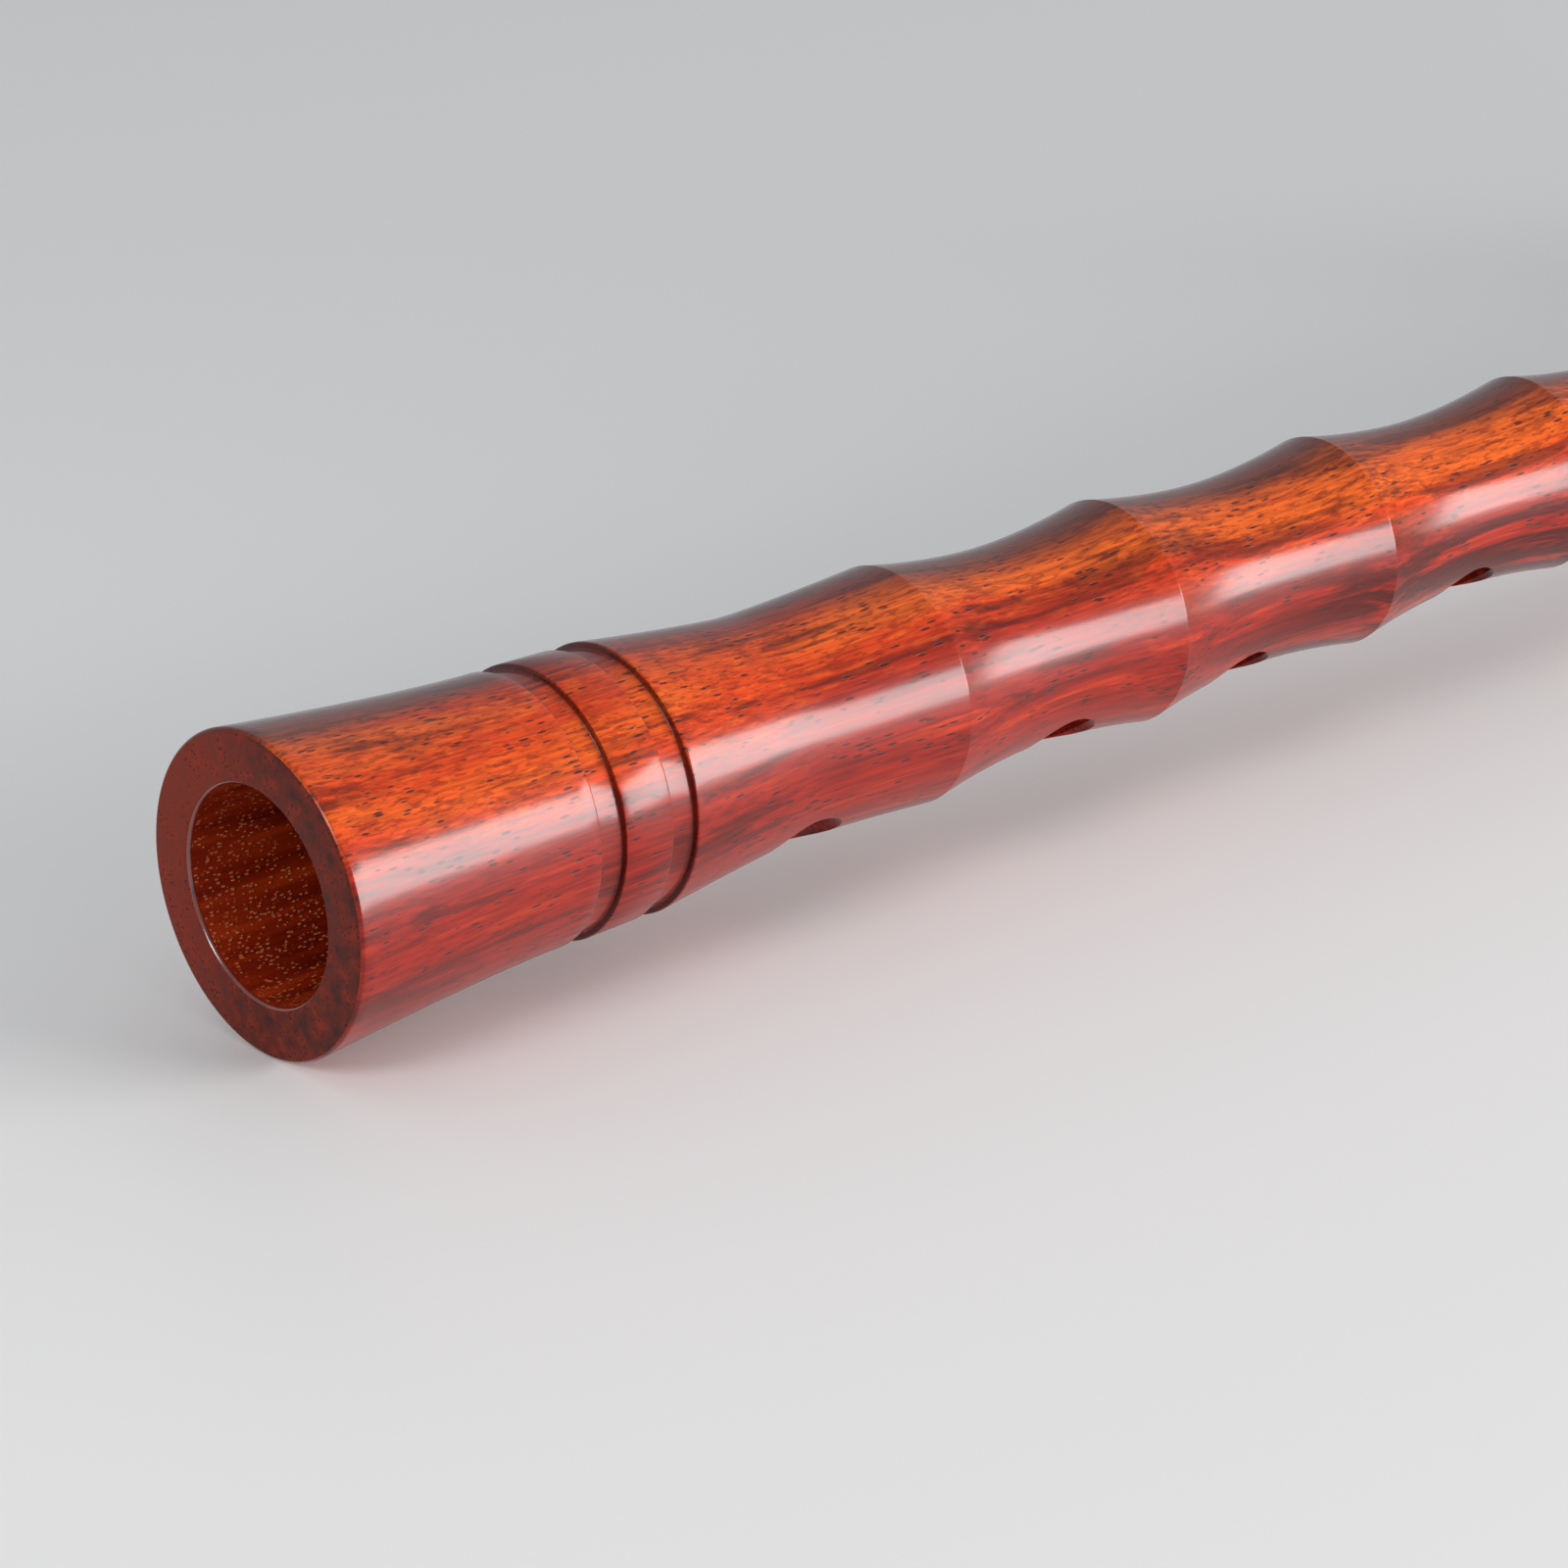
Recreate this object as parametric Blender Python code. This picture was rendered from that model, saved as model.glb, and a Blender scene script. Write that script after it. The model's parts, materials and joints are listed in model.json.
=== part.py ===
"""A suona, the conical double-reed horn, with its bell taken off and stood beside it.

The stem lies on the surface on two rims, that of its flared foot and that of its lip disc, so its
axis rises a little towards the reed. +X runs from the foot to the reed, +Z is up, and the origin is
on the surface under the middle of the whole set. Lengths are in metres.
"""

import math

import bmesh
import bpy
from mathutils import Matrix, Vector

MM = 0.001

# Gaps between pieces
GAP = 0.3 * MM            # between neighbours that meet end to end
FIT = 0.15 * MM           # between pieces that sit on or in one another

# Wooden stem, as a chain of lengths along its axis from the end of the foot
FOOT_LENGTH = 27.9 * MM
GROOVE_WIDTH = 2.75 * MM
BAND_LENGTH = 5.35 * MM
FIRST_SCALLOP_LENGTH = 32.8 * MM
RIDGE_PITCH = 27.1 * MM
RIDGE_COUNT = 7
TOP_SCALLOP_LENGTH = 36.6 * MM
TENON_LENGTH = 14.0 * MM

# Wooden stem, radii and depths
FOOT_RADIUS = 15.0 * MM
FOOT_RIM_ROUND = 0.5 * MM
FLARE_POWER = 1.34
WAIST_RADIUS = 12.7 * MM
UPPER_WAIST_RADIUS = 12.55 * MM
GROOVE_DEPTH = 0.6 * MM
GROOVE_WALL_RUN = 0.3 * MM
FIRST_RIDGE_RADIUS = 11.25 * MM
RIDGE_STEP_DOWN = 0.548 * MM
FIRST_SCALLOP_DEPTH = 1.28 * MM
FIRST_SCALLOP_POWER = 1.32
SCALLOP_DEPTH = 1.44 * MM
SCALLOP_POWER = 1.83
COLLAR_RADIUS = 7.6 * MM
COLLAR_LENGTH = 2.5 * MM

# Bore, socket and holes of the stem
BORE_FOOT_RADIUS = 10.0 * MM
BORE_TOP_RADIUS = 3.4 * MM
BORE_RIM_ROUND = 0.45 * MM
SOCKET_RADIUS = 4.2 * MM
SOCKET_DEPTH = 30.0 * MM
FINGER_HOLE_RADIUS = 3.5 * MM
FINGER_HOLE_TURN = math.radians(34)     # from the underside towards -Y
THUMB_HOLE_BELOW_RIDGE = 6.6 * MM
THUMB_HOLE_RIDGE = 6                    # counted from the foot
# How far the first holes lie from the middle of their scallops, towards the reed
FINGER_HOLE_SHIFTS = (0.7 * MM, 2.1 * MM, -2.6 * MM, 0.1 * MM)

# Brass cap over the stem's top
FERRULE_WALL = 0.55 * MM
FERRULE_LIP_LENGTH = 0.7 * MM
FERRULE_PROUD = 0.2 * MM
FERRULE_EDGE_ROUND = 0.25 * MM

# Staple and its thread
STAPLE_SEAT_DEPTH = 28.0 * MM
STAPLE_SEAT_RADIUS = 3.0 * MM
STAPLE_TIP_RADIUS = 1.9 * MM
STAPLE_TIP_LENGTH = 11.0 * MM
STAPLE_WALL = 0.4 * MM
LAPPING_LENGTH = 23.0 * MM
LAPPING_END_MARGIN = 3.0 * MM
TIP_LAPPING_LENGTH = 8.0 * MM
TIP_LAPPING_THICKNESS = 0.3 * MM

# Beads and lip disc on the staple
LOWER_BEAD_LENGTH = 11.0 * MM
LOWER_BEAD_RADIUS = 7.5 * MM
UPPER_BEAD_LENGTH = 7.0 * MM
UPPER_BEAD_RADIUS = 4.6 * MM
BEAD_WALL = 0.5 * MM
BEAD_COLLAR = 1.0 * MM                  # radial width of the flat ends
DISC_RADIUS = 21.0 * MM
DISC_THICKNESS = 0.9 * MM
DISC_DISH = 2.0 * MM
DISC_HUB_RADIUS = 5.5 * MM

# Reed
REED_LENGTH = 22.5 * MM
REED_ROOT_LENGTH = 10.0 * MM
REED_WALL = 0.45 * MM
REED_TIP_WALL = 0.3 * MM
REED_TIP_HALF_WIDTH = 4.6 * MM
REED_TIP_HALF_THICKNESS = 0.95 * MM
REED_WIRE_START = 1.5 * MM
REED_WIRE_LENGTH = 4.5 * MM
REED_WIRE_THICKNESS = 0.5 * MM

# Spun brass bell, heights from its mouth to its neck
SHEET = 0.6 * MM
RIM_WIRE_RADIUS = 1.7 * MM
MOUTH_RADIUS = 58.4 * MM                # to the middle of the rolled rim
FLARE_HEIGHT = 76.0 * MM
FLARE_CURVE = 2.8
SEAM_RADIUS = 21.0 * MM
CONE_HEIGHT = 27.0 * MM
CONE_CURVE = 1.25
NECK_CLEARANCE = 0.35 * MM
NECK_OVERLAP = 7.1 * MM                 # neck tube past the stem's grooves
RING_HEIGHT = 4.5 * MM
RING_THICKNESS = 2.0 * MM

# Where the bell stands
STAND_PAST_STEM = 50.0 * MM
STAND_GAP = 12.0 * MM

# Sides of the turned pieces: multiples of four, so that each has a corner straight down
STEM_SIDES = 40
BELL_SIDES = 40
DISC_SIDES = 40
SMALL_SIDES = 20
SCALLOP_STEPS = 6
FLARE_STEPS = 5
ROUND_STEPS = 3
BEAD_STEPS = 5
RIM_SIDES = 10                          # a flat side lies on the surface
SHARP_ANGLE = math.radians(32)

# Worked out from the sizes above
FIRST_GROOVE = FOOT_LENGTH
SECOND_GROOVE = FIRST_GROOVE + GROOVE_WIDTH + BAND_LENGTH
SCALLOPS_START = SECOND_GROOVE + GROOVE_WIDTH
FIRST_RIDGE = SCALLOPS_START + FIRST_SCALLOP_LENGTH
LAST_RIDGE = FIRST_RIDGE + (RIDGE_COUNT - 1) * RIDGE_PITCH
SHOULDER = LAST_RIDGE + TOP_SCALLOP_LENGTH
STEM_LENGTH = SHOULDER + TENON_LENGTH
SOCKET_FLOOR = STEM_LENGTH - SOCKET_DEPTH
FERRULE_RADIUS = COLLAR_RADIUS + FERRULE_PROUD
TENON_RADIUS = FERRULE_RADIUS - FERRULE_WALL - FIT
FERRULE_TOP = STEM_LENGTH + GAP + FERRULE_LIP_LENGTH
STAPLE_START = STEM_LENGTH - STAPLE_SEAT_DEPTH
LOWER_BEAD_START = FERRULE_TOP + GAP
DISC_START = LOWER_BEAD_START + LOWER_BEAD_LENGTH + GAP
UPPER_BEAD_START = DISC_START + DISC_THICKNESS + GAP
STAPLE_TAPER_START = LOWER_BEAD_START
STAPLE_TAPER_END = UPPER_BEAD_START + UPPER_BEAD_LENGTH
STAPLE_END = STAPLE_TAPER_END + STAPLE_TIP_LENGTH
TIP_LAPPING_START = STAPLE_TAPER_END + GAP
TIP_LAPPING_RADIUS = STAPLE_TIP_RADIUS + FIT + TIP_LAPPING_THICKNESS
REED_START = TIP_LAPPING_START + GAP
REED_ROOT_INNER = TIP_LAPPING_RADIUS + FIT
REED_ROOT_RADIUS = REED_ROOT_INNER + REED_WALL
DISC_RIM_ALONG = DISC_START + DISC_DISH + DISC_THICKNESS / 2
NECK_INNER_RADIUS = max(WAIST_RADIUS, UPPER_WAIST_RADIUS) + NECK_CLEARANCE
NECK_RADIUS = NECK_INNER_RADIUS + SHEET
NECK_LENGTH = 2 * GROOVE_WIDTH + BAND_LENGTH + NECK_OVERLAP
RIM_HEIGHT = RIM_WIRE_RADIUS * math.cos(math.pi / RIM_SIDES)
FLARE_START = RIM_HEIGHT + RIM_WIRE_RADIUS + GAP
SEAM_HEIGHT = FLARE_START + FLARE_HEIGHT
CONE_START = SEAM_HEIGHT + GAP
NECK_START = CONE_START + CONE_HEIGHT
BELL_HEIGHT = NECK_START + NECK_LENGTH
BELL_OUTER_RADIUS = MOUTH_RADIUS + RIM_WIRE_RADIUS
FLARE_MOUTH_RADIUS = MOUTH_RADIUS - SHEET / 2

# The surface touches the foot's rim and the disc's rim, which gives the slope of the axis
STEM_SLOPE = math.atan2(DISC_RADIUS - FOOT_RADIUS, DISC_RIM_ALONG - FOOT_RIM_ROUND)
STEM_HEIGHT = FOOT_RADIUS * math.cos(STEM_SLOPE) - FOOT_RIM_ROUND * math.sin(STEM_SLOPE)

# Corners of the whole set before it is centred on the origin
BELL_ALONG = STEM_LENGTH + STAND_PAST_STEM
BELL_ASIDE = -(DISC_RADIUS + STAND_GAP + BELL_OUTER_RADIUS)
LOW_X = -(FOOT_RADIUS - FOOT_RIM_ROUND) * math.sin(STEM_SLOPE)
HIGH_X = BELL_ALONG + BELL_OUTER_RADIUS
LOW_Y = BELL_ASIDE - BELL_OUTER_RADIUS
HIGH_Y = DISC_RADIUS
CENTRE_X = (LOW_X + HIGH_X) / 2
CENTRE_Y = (LOW_Y + HIGH_Y) / 2


def clear_scene():
    """Remove every object that is in the file."""
    for thing in list(bpy.data.objects):
        bpy.data.objects.remove(thing, do_unlink=True)


def make_material(name, colour, roughness, metallic=0.0):
    """A Principled material of one colour."""
    material = bpy.data.materials.new(name)
    material.use_nodes = True
    shader = material.node_tree.nodes["Principled BSDF"]
    shader.inputs["Base Color"].default_value = (*colour, 1.0)
    shader.inputs["Roughness"].default_value = roughness
    shader.inputs["Metallic"].default_value = metallic
    return material


def make_frame(name, location, tilt=0.0):
    """An empty that carries pieces: its +Z is the axis that they are turned about."""
    frame = bpy.data.objects.new(name, None)
    frame.location = location
    frame.rotation_euler = (0.0, tilt, 0.0)
    bpy.context.scene.collection.objects.link(frame)
    return frame


def make_object(name, mesh_builder, material, frame, along=0.0):
    """Put a finished bmesh into an object on its frame's axis."""
    bmesh.ops.recalc_face_normals(mesh_builder, faces=mesh_builder.faces)
    mesh = bpy.data.meshes.new(name)
    mesh_builder.to_mesh(mesh)
    mesh_builder.free()
    mesh.shade_smooth()
    mesh.set_sharp_from_angle(angle=SHARP_ANGLE)
    mesh.materials.append(material)
    piece = bpy.data.objects.new(name, mesh)
    piece.parent = frame
    piece.location = (0.0, 0.0, along)
    bpy.context.scene.collection.objects.link(piece)
    return piece


def turn(outline, sides):
    """Turn a closed outline of (radius, height) points once round Z, as on a lathe."""
    shape = bmesh.new()
    corners = [shape.verts.new((radius, 0.0, height)) for radius, height in outline]
    edges = [shape.edges.new(pair) for pair in zip(corners, corners[1:] + corners[:1])]
    bmesh.ops.spin(
        shape,
        geom=corners + edges,
        axis=(0.0, 0.0, 1.0),
        cent=(0.0, 0.0, 0.0),
        angle=math.tau,
        steps=sides,
        use_merge=True,
    )
    return shape


def arc(centre_radius, centre_height, size, first_degrees, last_degrees, steps):
    """Points of a round corner. 0 degrees points outwards and 90 degrees towards the reed."""
    points = []
    for step in range(steps + 1):
        angle = math.radians(first_degrees + (last_degrees - first_degrees) * step / steps)
        radius = centre_radius + size * math.cos(angle)
        points.append((radius, centre_height + size * math.sin(angle)))
    return points


def mix(first, second, share):
    """The value that lies a share of the way from the first to the second."""
    return first + (second - first) * share


def scallop(start, start_radius, end, end_radius, depth, power):
    """A hollow turned between two ridges. It leaves out its first point, which the last one gave."""
    points = []
    for step in range(1, SCALLOP_STEPS + 1):
        share = step / SCALLOP_STEPS
        hollow = depth * (1 - abs(2 * share - 1) ** power)
        points.append((mix(start_radius, end_radius, share) - hollow, mix(start, end, share)))
    return points


def groove(start, radius):
    """A shallow turned groove with sloping walls."""
    end = start + GROOVE_WIDTH
    return [
        (radius, start),
        (radius - GROOVE_DEPTH, start + GROOVE_WALL_RUN),
        (radius - GROOVE_DEPTH, end - GROOVE_WALL_RUN),
        (radius, end),
    ]


def ridge_along(number):
    """How far up the stem a ridge lies, counted from 0 at the foot's side."""
    return FIRST_RIDGE + number * RIDGE_PITCH


def ridge_radius(number):
    """The stem's radius at a ridge."""
    return FIRST_RIDGE_RADIUS - number * RIDGE_STEP_DOWN


def stem_outline():
    """The stem's section: up its outside, over its top and down its bore."""
    outline = arc(FOOT_RADIUS - FOOT_RIM_ROUND, FOOT_RIM_ROUND, FOOT_RIM_ROUND, -90, 0, ROUND_STEPS)
    for step in range(1, FLARE_STEPS):
        share = step / FLARE_STEPS
        radius = WAIST_RADIUS + (FOOT_RADIUS - WAIST_RADIUS) * (1 - share) ** FLARE_POWER
        outline.append((radius, mix(FOOT_RIM_ROUND, FOOT_LENGTH, share)))
    outline += groove(FIRST_GROOVE, WAIST_RADIUS)
    outline += groove(SECOND_GROOVE, UPPER_WAIST_RADIUS)
    outline += scallop(SCALLOPS_START, UPPER_WAIST_RADIUS, FIRST_RIDGE, FIRST_RIDGE_RADIUS,
                       FIRST_SCALLOP_DEPTH, FIRST_SCALLOP_POWER)
    for number in range(RIDGE_COUNT - 1):
        outline += scallop(ridge_along(number), ridge_radius(number),
                           ridge_along(number + 1), ridge_radius(number + 1),
                           SCALLOP_DEPTH, SCALLOP_POWER)
    outline += scallop(LAST_RIDGE, ridge_radius(RIDGE_COUNT - 1), SHOULDER - COLLAR_LENGTH,
                       COLLAR_RADIUS, SCALLOP_DEPTH, SCALLOP_POWER)
    outline.append((COLLAR_RADIUS, SHOULDER))
    outline.append((TENON_RADIUS, SHOULDER))
    outline.append((TENON_RADIUS, STEM_LENGTH))
    outline.append((SOCKET_RADIUS, STEM_LENGTH))
    outline.append((SOCKET_RADIUS, SOCKET_FLOOR))
    outline.append((BORE_TOP_RADIUS, SOCKET_FLOOR))
    outline += arc(BORE_FOOT_RADIUS + BORE_RIM_ROUND, BORE_RIM_ROUND, BORE_RIM_ROUND,
                   180, 270, ROUND_STEPS)
    return outline


def scallop_middle(number):
    """The middle of a scallop, where 0 is the one next to the grooves."""
    if number == 0:
        return (SCALLOPS_START + FIRST_RIDGE) / 2
    return ridge_along(number) - RIDGE_PITCH / 2


def hole_cutter(shape, along, turn_angle):
    """Add a drill from just off the stem's axis out through its wall."""
    reach = FOOT_RADIUS
    outwards = Vector((math.cos(turn_angle), math.sin(turn_angle), 0.0))
    middle = outwards * (reach / 2 + MM)
    middle.z = along
    placed = Matrix.Translation(middle) @ outwards.to_track_quat("Z", "Y").to_matrix().to_4x4()
    bmesh.ops.create_cone(
        shape,
        cap_ends=True,
        segments=SMALL_SIDES,
        radius1=FINGER_HOLE_RADIUS,
        radius2=FINGER_HOLE_RADIUS,
        depth=reach,
        matrix=placed,
    )


def build_stem(frame):
    """The rosewood stem with its finger holes and thumb hole."""
    wood = make_material("rosewood", (0.42, 0.06, 0.02), 0.22)
    stem = make_object("wooden_stem", turn(stem_outline(), STEM_SIDES), wood, frame)

    drills = bmesh.new()
    for number in range(RIDGE_COUNT):
        along = scallop_middle(number)
        if number < len(FINGER_HOLE_SHIFTS):
            along += FINGER_HOLE_SHIFTS[number]
        hole_cutter(drills, along, -FINGER_HOLE_TURN)
    thumb_along = ridge_along(THUMB_HOLE_RIDGE - 1) - THUMB_HOLE_BELOW_RIDGE
    hole_cutter(drills, thumb_along, math.pi - FINGER_HOLE_TURN)
    cutter = make_object("hole_drills", drills, wood, frame)
    cutter.hide_render = True
    cutter.display_type = "WIRE"

    holes = stem.modifiers.new("holes", "BOOLEAN")
    holes.operation = "DIFFERENCE"
    holes.solver = "EXACT"
    holes.object = cutter


def build_ferrule(frame, brass):
    """The brass cap over the tenon, with a lip over the end grain."""
    lip_inner = SOCKET_RADIUS + FIT
    outline = [(FERRULE_RADIUS, SHOULDER + GAP)]
    outline += arc(FERRULE_RADIUS - FERRULE_EDGE_ROUND, FERRULE_TOP - FERRULE_EDGE_ROUND,
                   FERRULE_EDGE_ROUND, 0, 90, ROUND_STEPS)
    outline.append((lip_inner, FERRULE_TOP))
    outline.append((lip_inner, STEM_LENGTH + GAP))
    outline.append((FERRULE_RADIUS - FERRULE_WALL, STEM_LENGTH + GAP))
    outline.append((FERRULE_RADIUS - FERRULE_WALL, SHOULDER + GAP))
    make_object("stem_ferrule", turn(outline, STEM_SIDES), brass, frame)


def staple_radius(along):
    """The staple's outer radius at a place on the stem's axis."""
    share = (along - STAPLE_TAPER_START) / (STAPLE_TAPER_END - STAPLE_TAPER_START)
    return mix(STAPLE_SEAT_RADIUS, STAPLE_TIP_RADIUS, min(max(share, 0.0), 1.0))


def build_staple(frame, metal, thread):
    """The staple, with the thread that seats it and the thread that the reed grips."""
    places = (STAPLE_START, STAPLE_TAPER_START, STAPLE_TAPER_END, STAPLE_END)
    outside = [(staple_radius(place), place - STAPLE_START) for place in places]
    inside = [(radius - STAPLE_WALL, height) for radius, height in reversed(outside)]
    make_object("staple_tube", turn(outside + inside, SMALL_SIDES), metal, frame, STAPLE_START)

    lapping_inner = STAPLE_SEAT_RADIUS + FIT
    lapping_outer = SOCKET_RADIUS - FIT
    lapping = [
        (lapping_outer, 0.0),
        (lapping_outer, LAPPING_LENGTH),
        (lapping_inner, LAPPING_LENGTH),
        (lapping_inner, 0.0),
    ]
    lapping_start = STAPLE_START + LAPPING_END_MARGIN
    make_object("staple_lapping", turn(lapping, SMALL_SIDES), thread, frame, lapping_start)

    tip_inner = STAPLE_TIP_RADIUS + FIT
    tip_lapping = [
        (TIP_LAPPING_RADIUS, 0.0),
        (TIP_LAPPING_RADIUS, TIP_LAPPING_LENGTH),
        (tip_inner, TIP_LAPPING_LENGTH),
        (tip_inner, 0.0),
    ]
    make_object("tip_lapping", turn(tip_lapping, SMALL_SIDES), thread, frame, TIP_LAPPING_START)


def bead_outline(start, length, radius):
    """A hollow bead, open at both ends where the staple runs through it."""
    low_hole = staple_radius(start) + FIT
    high_hole = staple_radius(start + length) + FIT
    outside = []
    for step in range(BEAD_STEPS + 1):
        share = step / BEAD_STEPS
        hole = mix(low_hole, high_hole, share) + BEAD_COLLAR
        height = length * (1 - math.cos(math.pi * share)) / 2
        outside.append((mix(hole, radius, math.sin(math.pi * share)), height))
    inside = []
    for step in range(BEAD_STEPS + 1):
        share = 1 - step / BEAD_STEPS
        hole = mix(low_hole, high_hole, share) + BEAD_COLLAR
        height = mix(BEAD_WALL, length - BEAD_WALL, (1 - math.cos(math.pi * share)) / 2)
        inside.append((mix(hole, radius - BEAD_WALL, math.sin(math.pi * share)), height))
    ends_high = [(high_hole, length), (high_hole, length - BEAD_WALL)]
    ends_low = [(low_hole, BEAD_WALL), (low_hole, 0.0)]
    return outside + ends_high + inside + ends_low


def build_beads_and_disc(frame, brass):
    """The bead below the lip disc, the disc, and the bead above it."""
    lower = bead_outline(LOWER_BEAD_START, LOWER_BEAD_LENGTH, LOWER_BEAD_RADIUS)
    make_object("lower_bead", turn(lower, SMALL_SIDES), brass, frame, LOWER_BEAD_START)
    upper = bead_outline(UPPER_BEAD_START, UPPER_BEAD_LENGTH, UPPER_BEAD_RADIUS)
    make_object("upper_bead", turn(upper, SMALL_SIDES), brass, frame, UPPER_BEAD_START)

    half = DISC_THICKNESS / 2
    hole = staple_radius(DISC_START) + FIT
    middle_radius = mix(DISC_HUB_RADIUS, DISC_RADIUS, 0.6)
    middle_rise = DISC_DISH * 0.35
    low_side = [(hole, 0.0), (DISC_HUB_RADIUS, 0.0), (middle_radius, middle_rise)]
    rim = arc(DISC_RADIUS - half, DISC_DISH + half, half, -90, 90, 4)
    high_side = [(radius, height + DISC_THICKNESS) for radius, height in reversed(low_side)]
    make_object("lip_disc", turn(low_side + rim + high_side, DISC_SIDES), brass, frame, DISC_START)


def reed_section(height):
    """Half width, half thickness and wall of the cane at a height above its root."""
    flat = max(height - REED_ROOT_LENGTH, 0.0) / (REED_LENGTH - REED_ROOT_LENGTH)
    eased = flat * flat * (3 - 2 * flat)
    half_width = mix(REED_ROOT_RADIUS, REED_TIP_HALF_WIDTH, eased)
    half_thickness = mix(REED_ROOT_RADIUS, REED_TIP_HALF_THICKNESS, eased)
    return half_width, half_thickness, mix(REED_WALL, REED_TIP_WALL, flat)


def build_reed(frame, cane, copper):
    """The cane, a tube pressed flat towards its tip, and the wire round its root."""
    steps = 6
    blade = REED_LENGTH - REED_ROOT_LENGTH
    heights = [0.0] + [REED_ROOT_LENGTH + blade * step / steps for step in range(steps + 1)]
    outside = [reed_section(height)[:2] + (height,) for height in heights]
    inside = []
    for height in reversed(heights):
        half_width, half_thickness, wall = reed_section(height)
        inside.append((half_width - wall, half_thickness - wall, height))
    flat_turn = math.pi / 2 - FINGER_HOLE_TURN
    shape = bmesh.new()
    rings = []
    for half_width, half_thickness, height in outside + inside:
        ring = bmesh.ops.create_circle(shape, segments=SMALL_SIDES, radius=1.0)["verts"]
        bmesh.ops.scale(shape, verts=ring, vec=(half_width, half_thickness, 1.0))
        bmesh.ops.rotate(shape, verts=ring, matrix=Matrix.Rotation(flat_turn, 3, "Z"))
        bmesh.ops.translate(shape, verts=ring, vec=(0.0, 0.0, height))
        rings.append(ring)
    for low, high in zip(rings, rings[1:] + rings[:1]):
        for corner in range(SMALL_SIDES):
            following = (corner + 1) % SMALL_SIDES
            shape.faces.new((low[corner], low[following], high[following], high[corner]))
    make_object("reed_cane", shape, cane, frame, REED_START)

    wire_inner = REED_ROOT_RADIUS + FIT
    wire_outer = wire_inner + REED_WIRE_THICKNESS
    wire = [
        (wire_outer, 0.0),
        (wire_outer, REED_WIRE_LENGTH),
        (wire_inner, REED_WIRE_LENGTH),
        (wire_inner, 0.0),
    ]
    make_object("reed_wire", turn(wire, SMALL_SIDES), copper, frame, REED_START + REED_WIRE_START)


def flare_radius(height):
    """The bell's outer radius between its rolled rim and the seam."""
    share = (SEAM_HEIGHT - height) / FLARE_HEIGHT
    return SEAM_RADIUS + (FLARE_MOUTH_RADIUS - SEAM_RADIUS) * max(share, 0.0) ** FLARE_CURVE


def cone_radius(height):
    """The bell's outer radius between the seam and the neck."""
    share = (NECK_START - height) / CONE_HEIGHT
    return NECK_RADIUS + (SEAM_RADIUS - NECK_RADIUS) * max(share, 0.0) ** CONE_CURVE


def spun_sheet(heights, radius_at):
    """The section of a spun sheet: up its outside and down its inside."""
    outside = [(radius_at(height), height) for height in heights]
    inside = [(radius - SHEET, height) for radius, height in reversed(outside)]
    return outside + inside


def ring_outline(inner, middle_height):
    """A turned ring with a rounded outside, centred on a height."""
    half = RING_HEIGHT / 2
    outline = []
    for step in range(5):
        angle = math.radians(-70 + 35 * step)
        bulge = RING_THICKNESS * math.cos(angle)
        outline.append((inner + bulge, middle_height + half * math.sin(angle)))
    outline.append((inner, outline[-1][1]))
    outline.append((inner, outline[0][1]))
    return outline


def build_bell(frame, brass):
    """The bell, standing on the rolled rim of its mouth."""
    side = 360 / RIM_SIDES
    rim = arc(MOUTH_RADIUS, RIM_HEIGHT, RIM_WIRE_RADIUS, -90 - side / 2, 270 - 1.5 * side, RIM_SIDES - 1)
    make_object("bell_rim_roll", turn(rim, BELL_SIDES), brass, frame)

    steps = 8
    flare_heights = [FLARE_START + FLARE_HEIGHT * (step / steps) ** 1.6 for step in range(steps + 1)]
    make_object("bell_flare", turn(spun_sheet(flare_heights, flare_radius), BELL_SIDES), brass, frame)

    cone_heights = [mix(CONE_START, NECK_START, step / 4) for step in range(5)] + [BELL_HEIGHT]
    make_object("bell_cone", turn(spun_sheet(cone_heights, cone_radius), BELL_SIDES), brass, frame)

    band = ring_outline(SEAM_RADIUS + FIT, SEAM_HEIGHT)
    make_object("bell_seam_band", turn(band, BELL_SIDES), brass, frame)

    neck_ring = ring_outline(NECK_RADIUS + FIT, BELL_HEIGHT - RING_HEIGHT / 2)
    make_object("bell_neck_ring", turn(neck_ring, BELL_SIDES), brass, frame)


def main():
    clear_scene()
    brass = make_material("brass", (0.78, 0.52, 0.2), 0.25, 1.0)
    staple_metal = make_material("staple_brass", (0.74, 0.5, 0.22), 0.3, 1.0)
    thread = make_material("cotton_thread", (0.72, 0.62, 0.45), 0.85)
    cane = make_material("reed_cane", (0.78, 0.62, 0.32), 0.5)
    copper = make_material("copper_wire", (0.8, 0.42, 0.26), 0.3, 1.0)

    stem_axis = make_frame(
        "stem_axis",
        (-CENTRE_X, -CENTRE_Y, STEM_HEIGHT),
        math.pi / 2 - STEM_SLOPE,
    )
    bell_axis = make_frame("bell_axis", (BELL_ALONG - CENTRE_X, BELL_ASIDE - CENTRE_Y, 0.0))

    build_stem(stem_axis)
    build_ferrule(stem_axis, brass)
    build_staple(stem_axis, staple_metal, thread)
    build_beads_and_disc(stem_axis, brass)
    build_reed(stem_axis, cane, copper)
    build_bell(bell_axis, brass)


main()
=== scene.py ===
# %% [markdown]
# A suona lies on a pale floor: a turned rosewood stem with its double reed, and the brass bell
# that was taken off it. The construction is fixed already, so this script gives each piece its
# fine shape and its finish. The frame is loaded first, because every place is read from it.

# %% Load the frame
import json
import math

import bmesh
import bpy
from mathutils import Matrix, Vector


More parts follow.
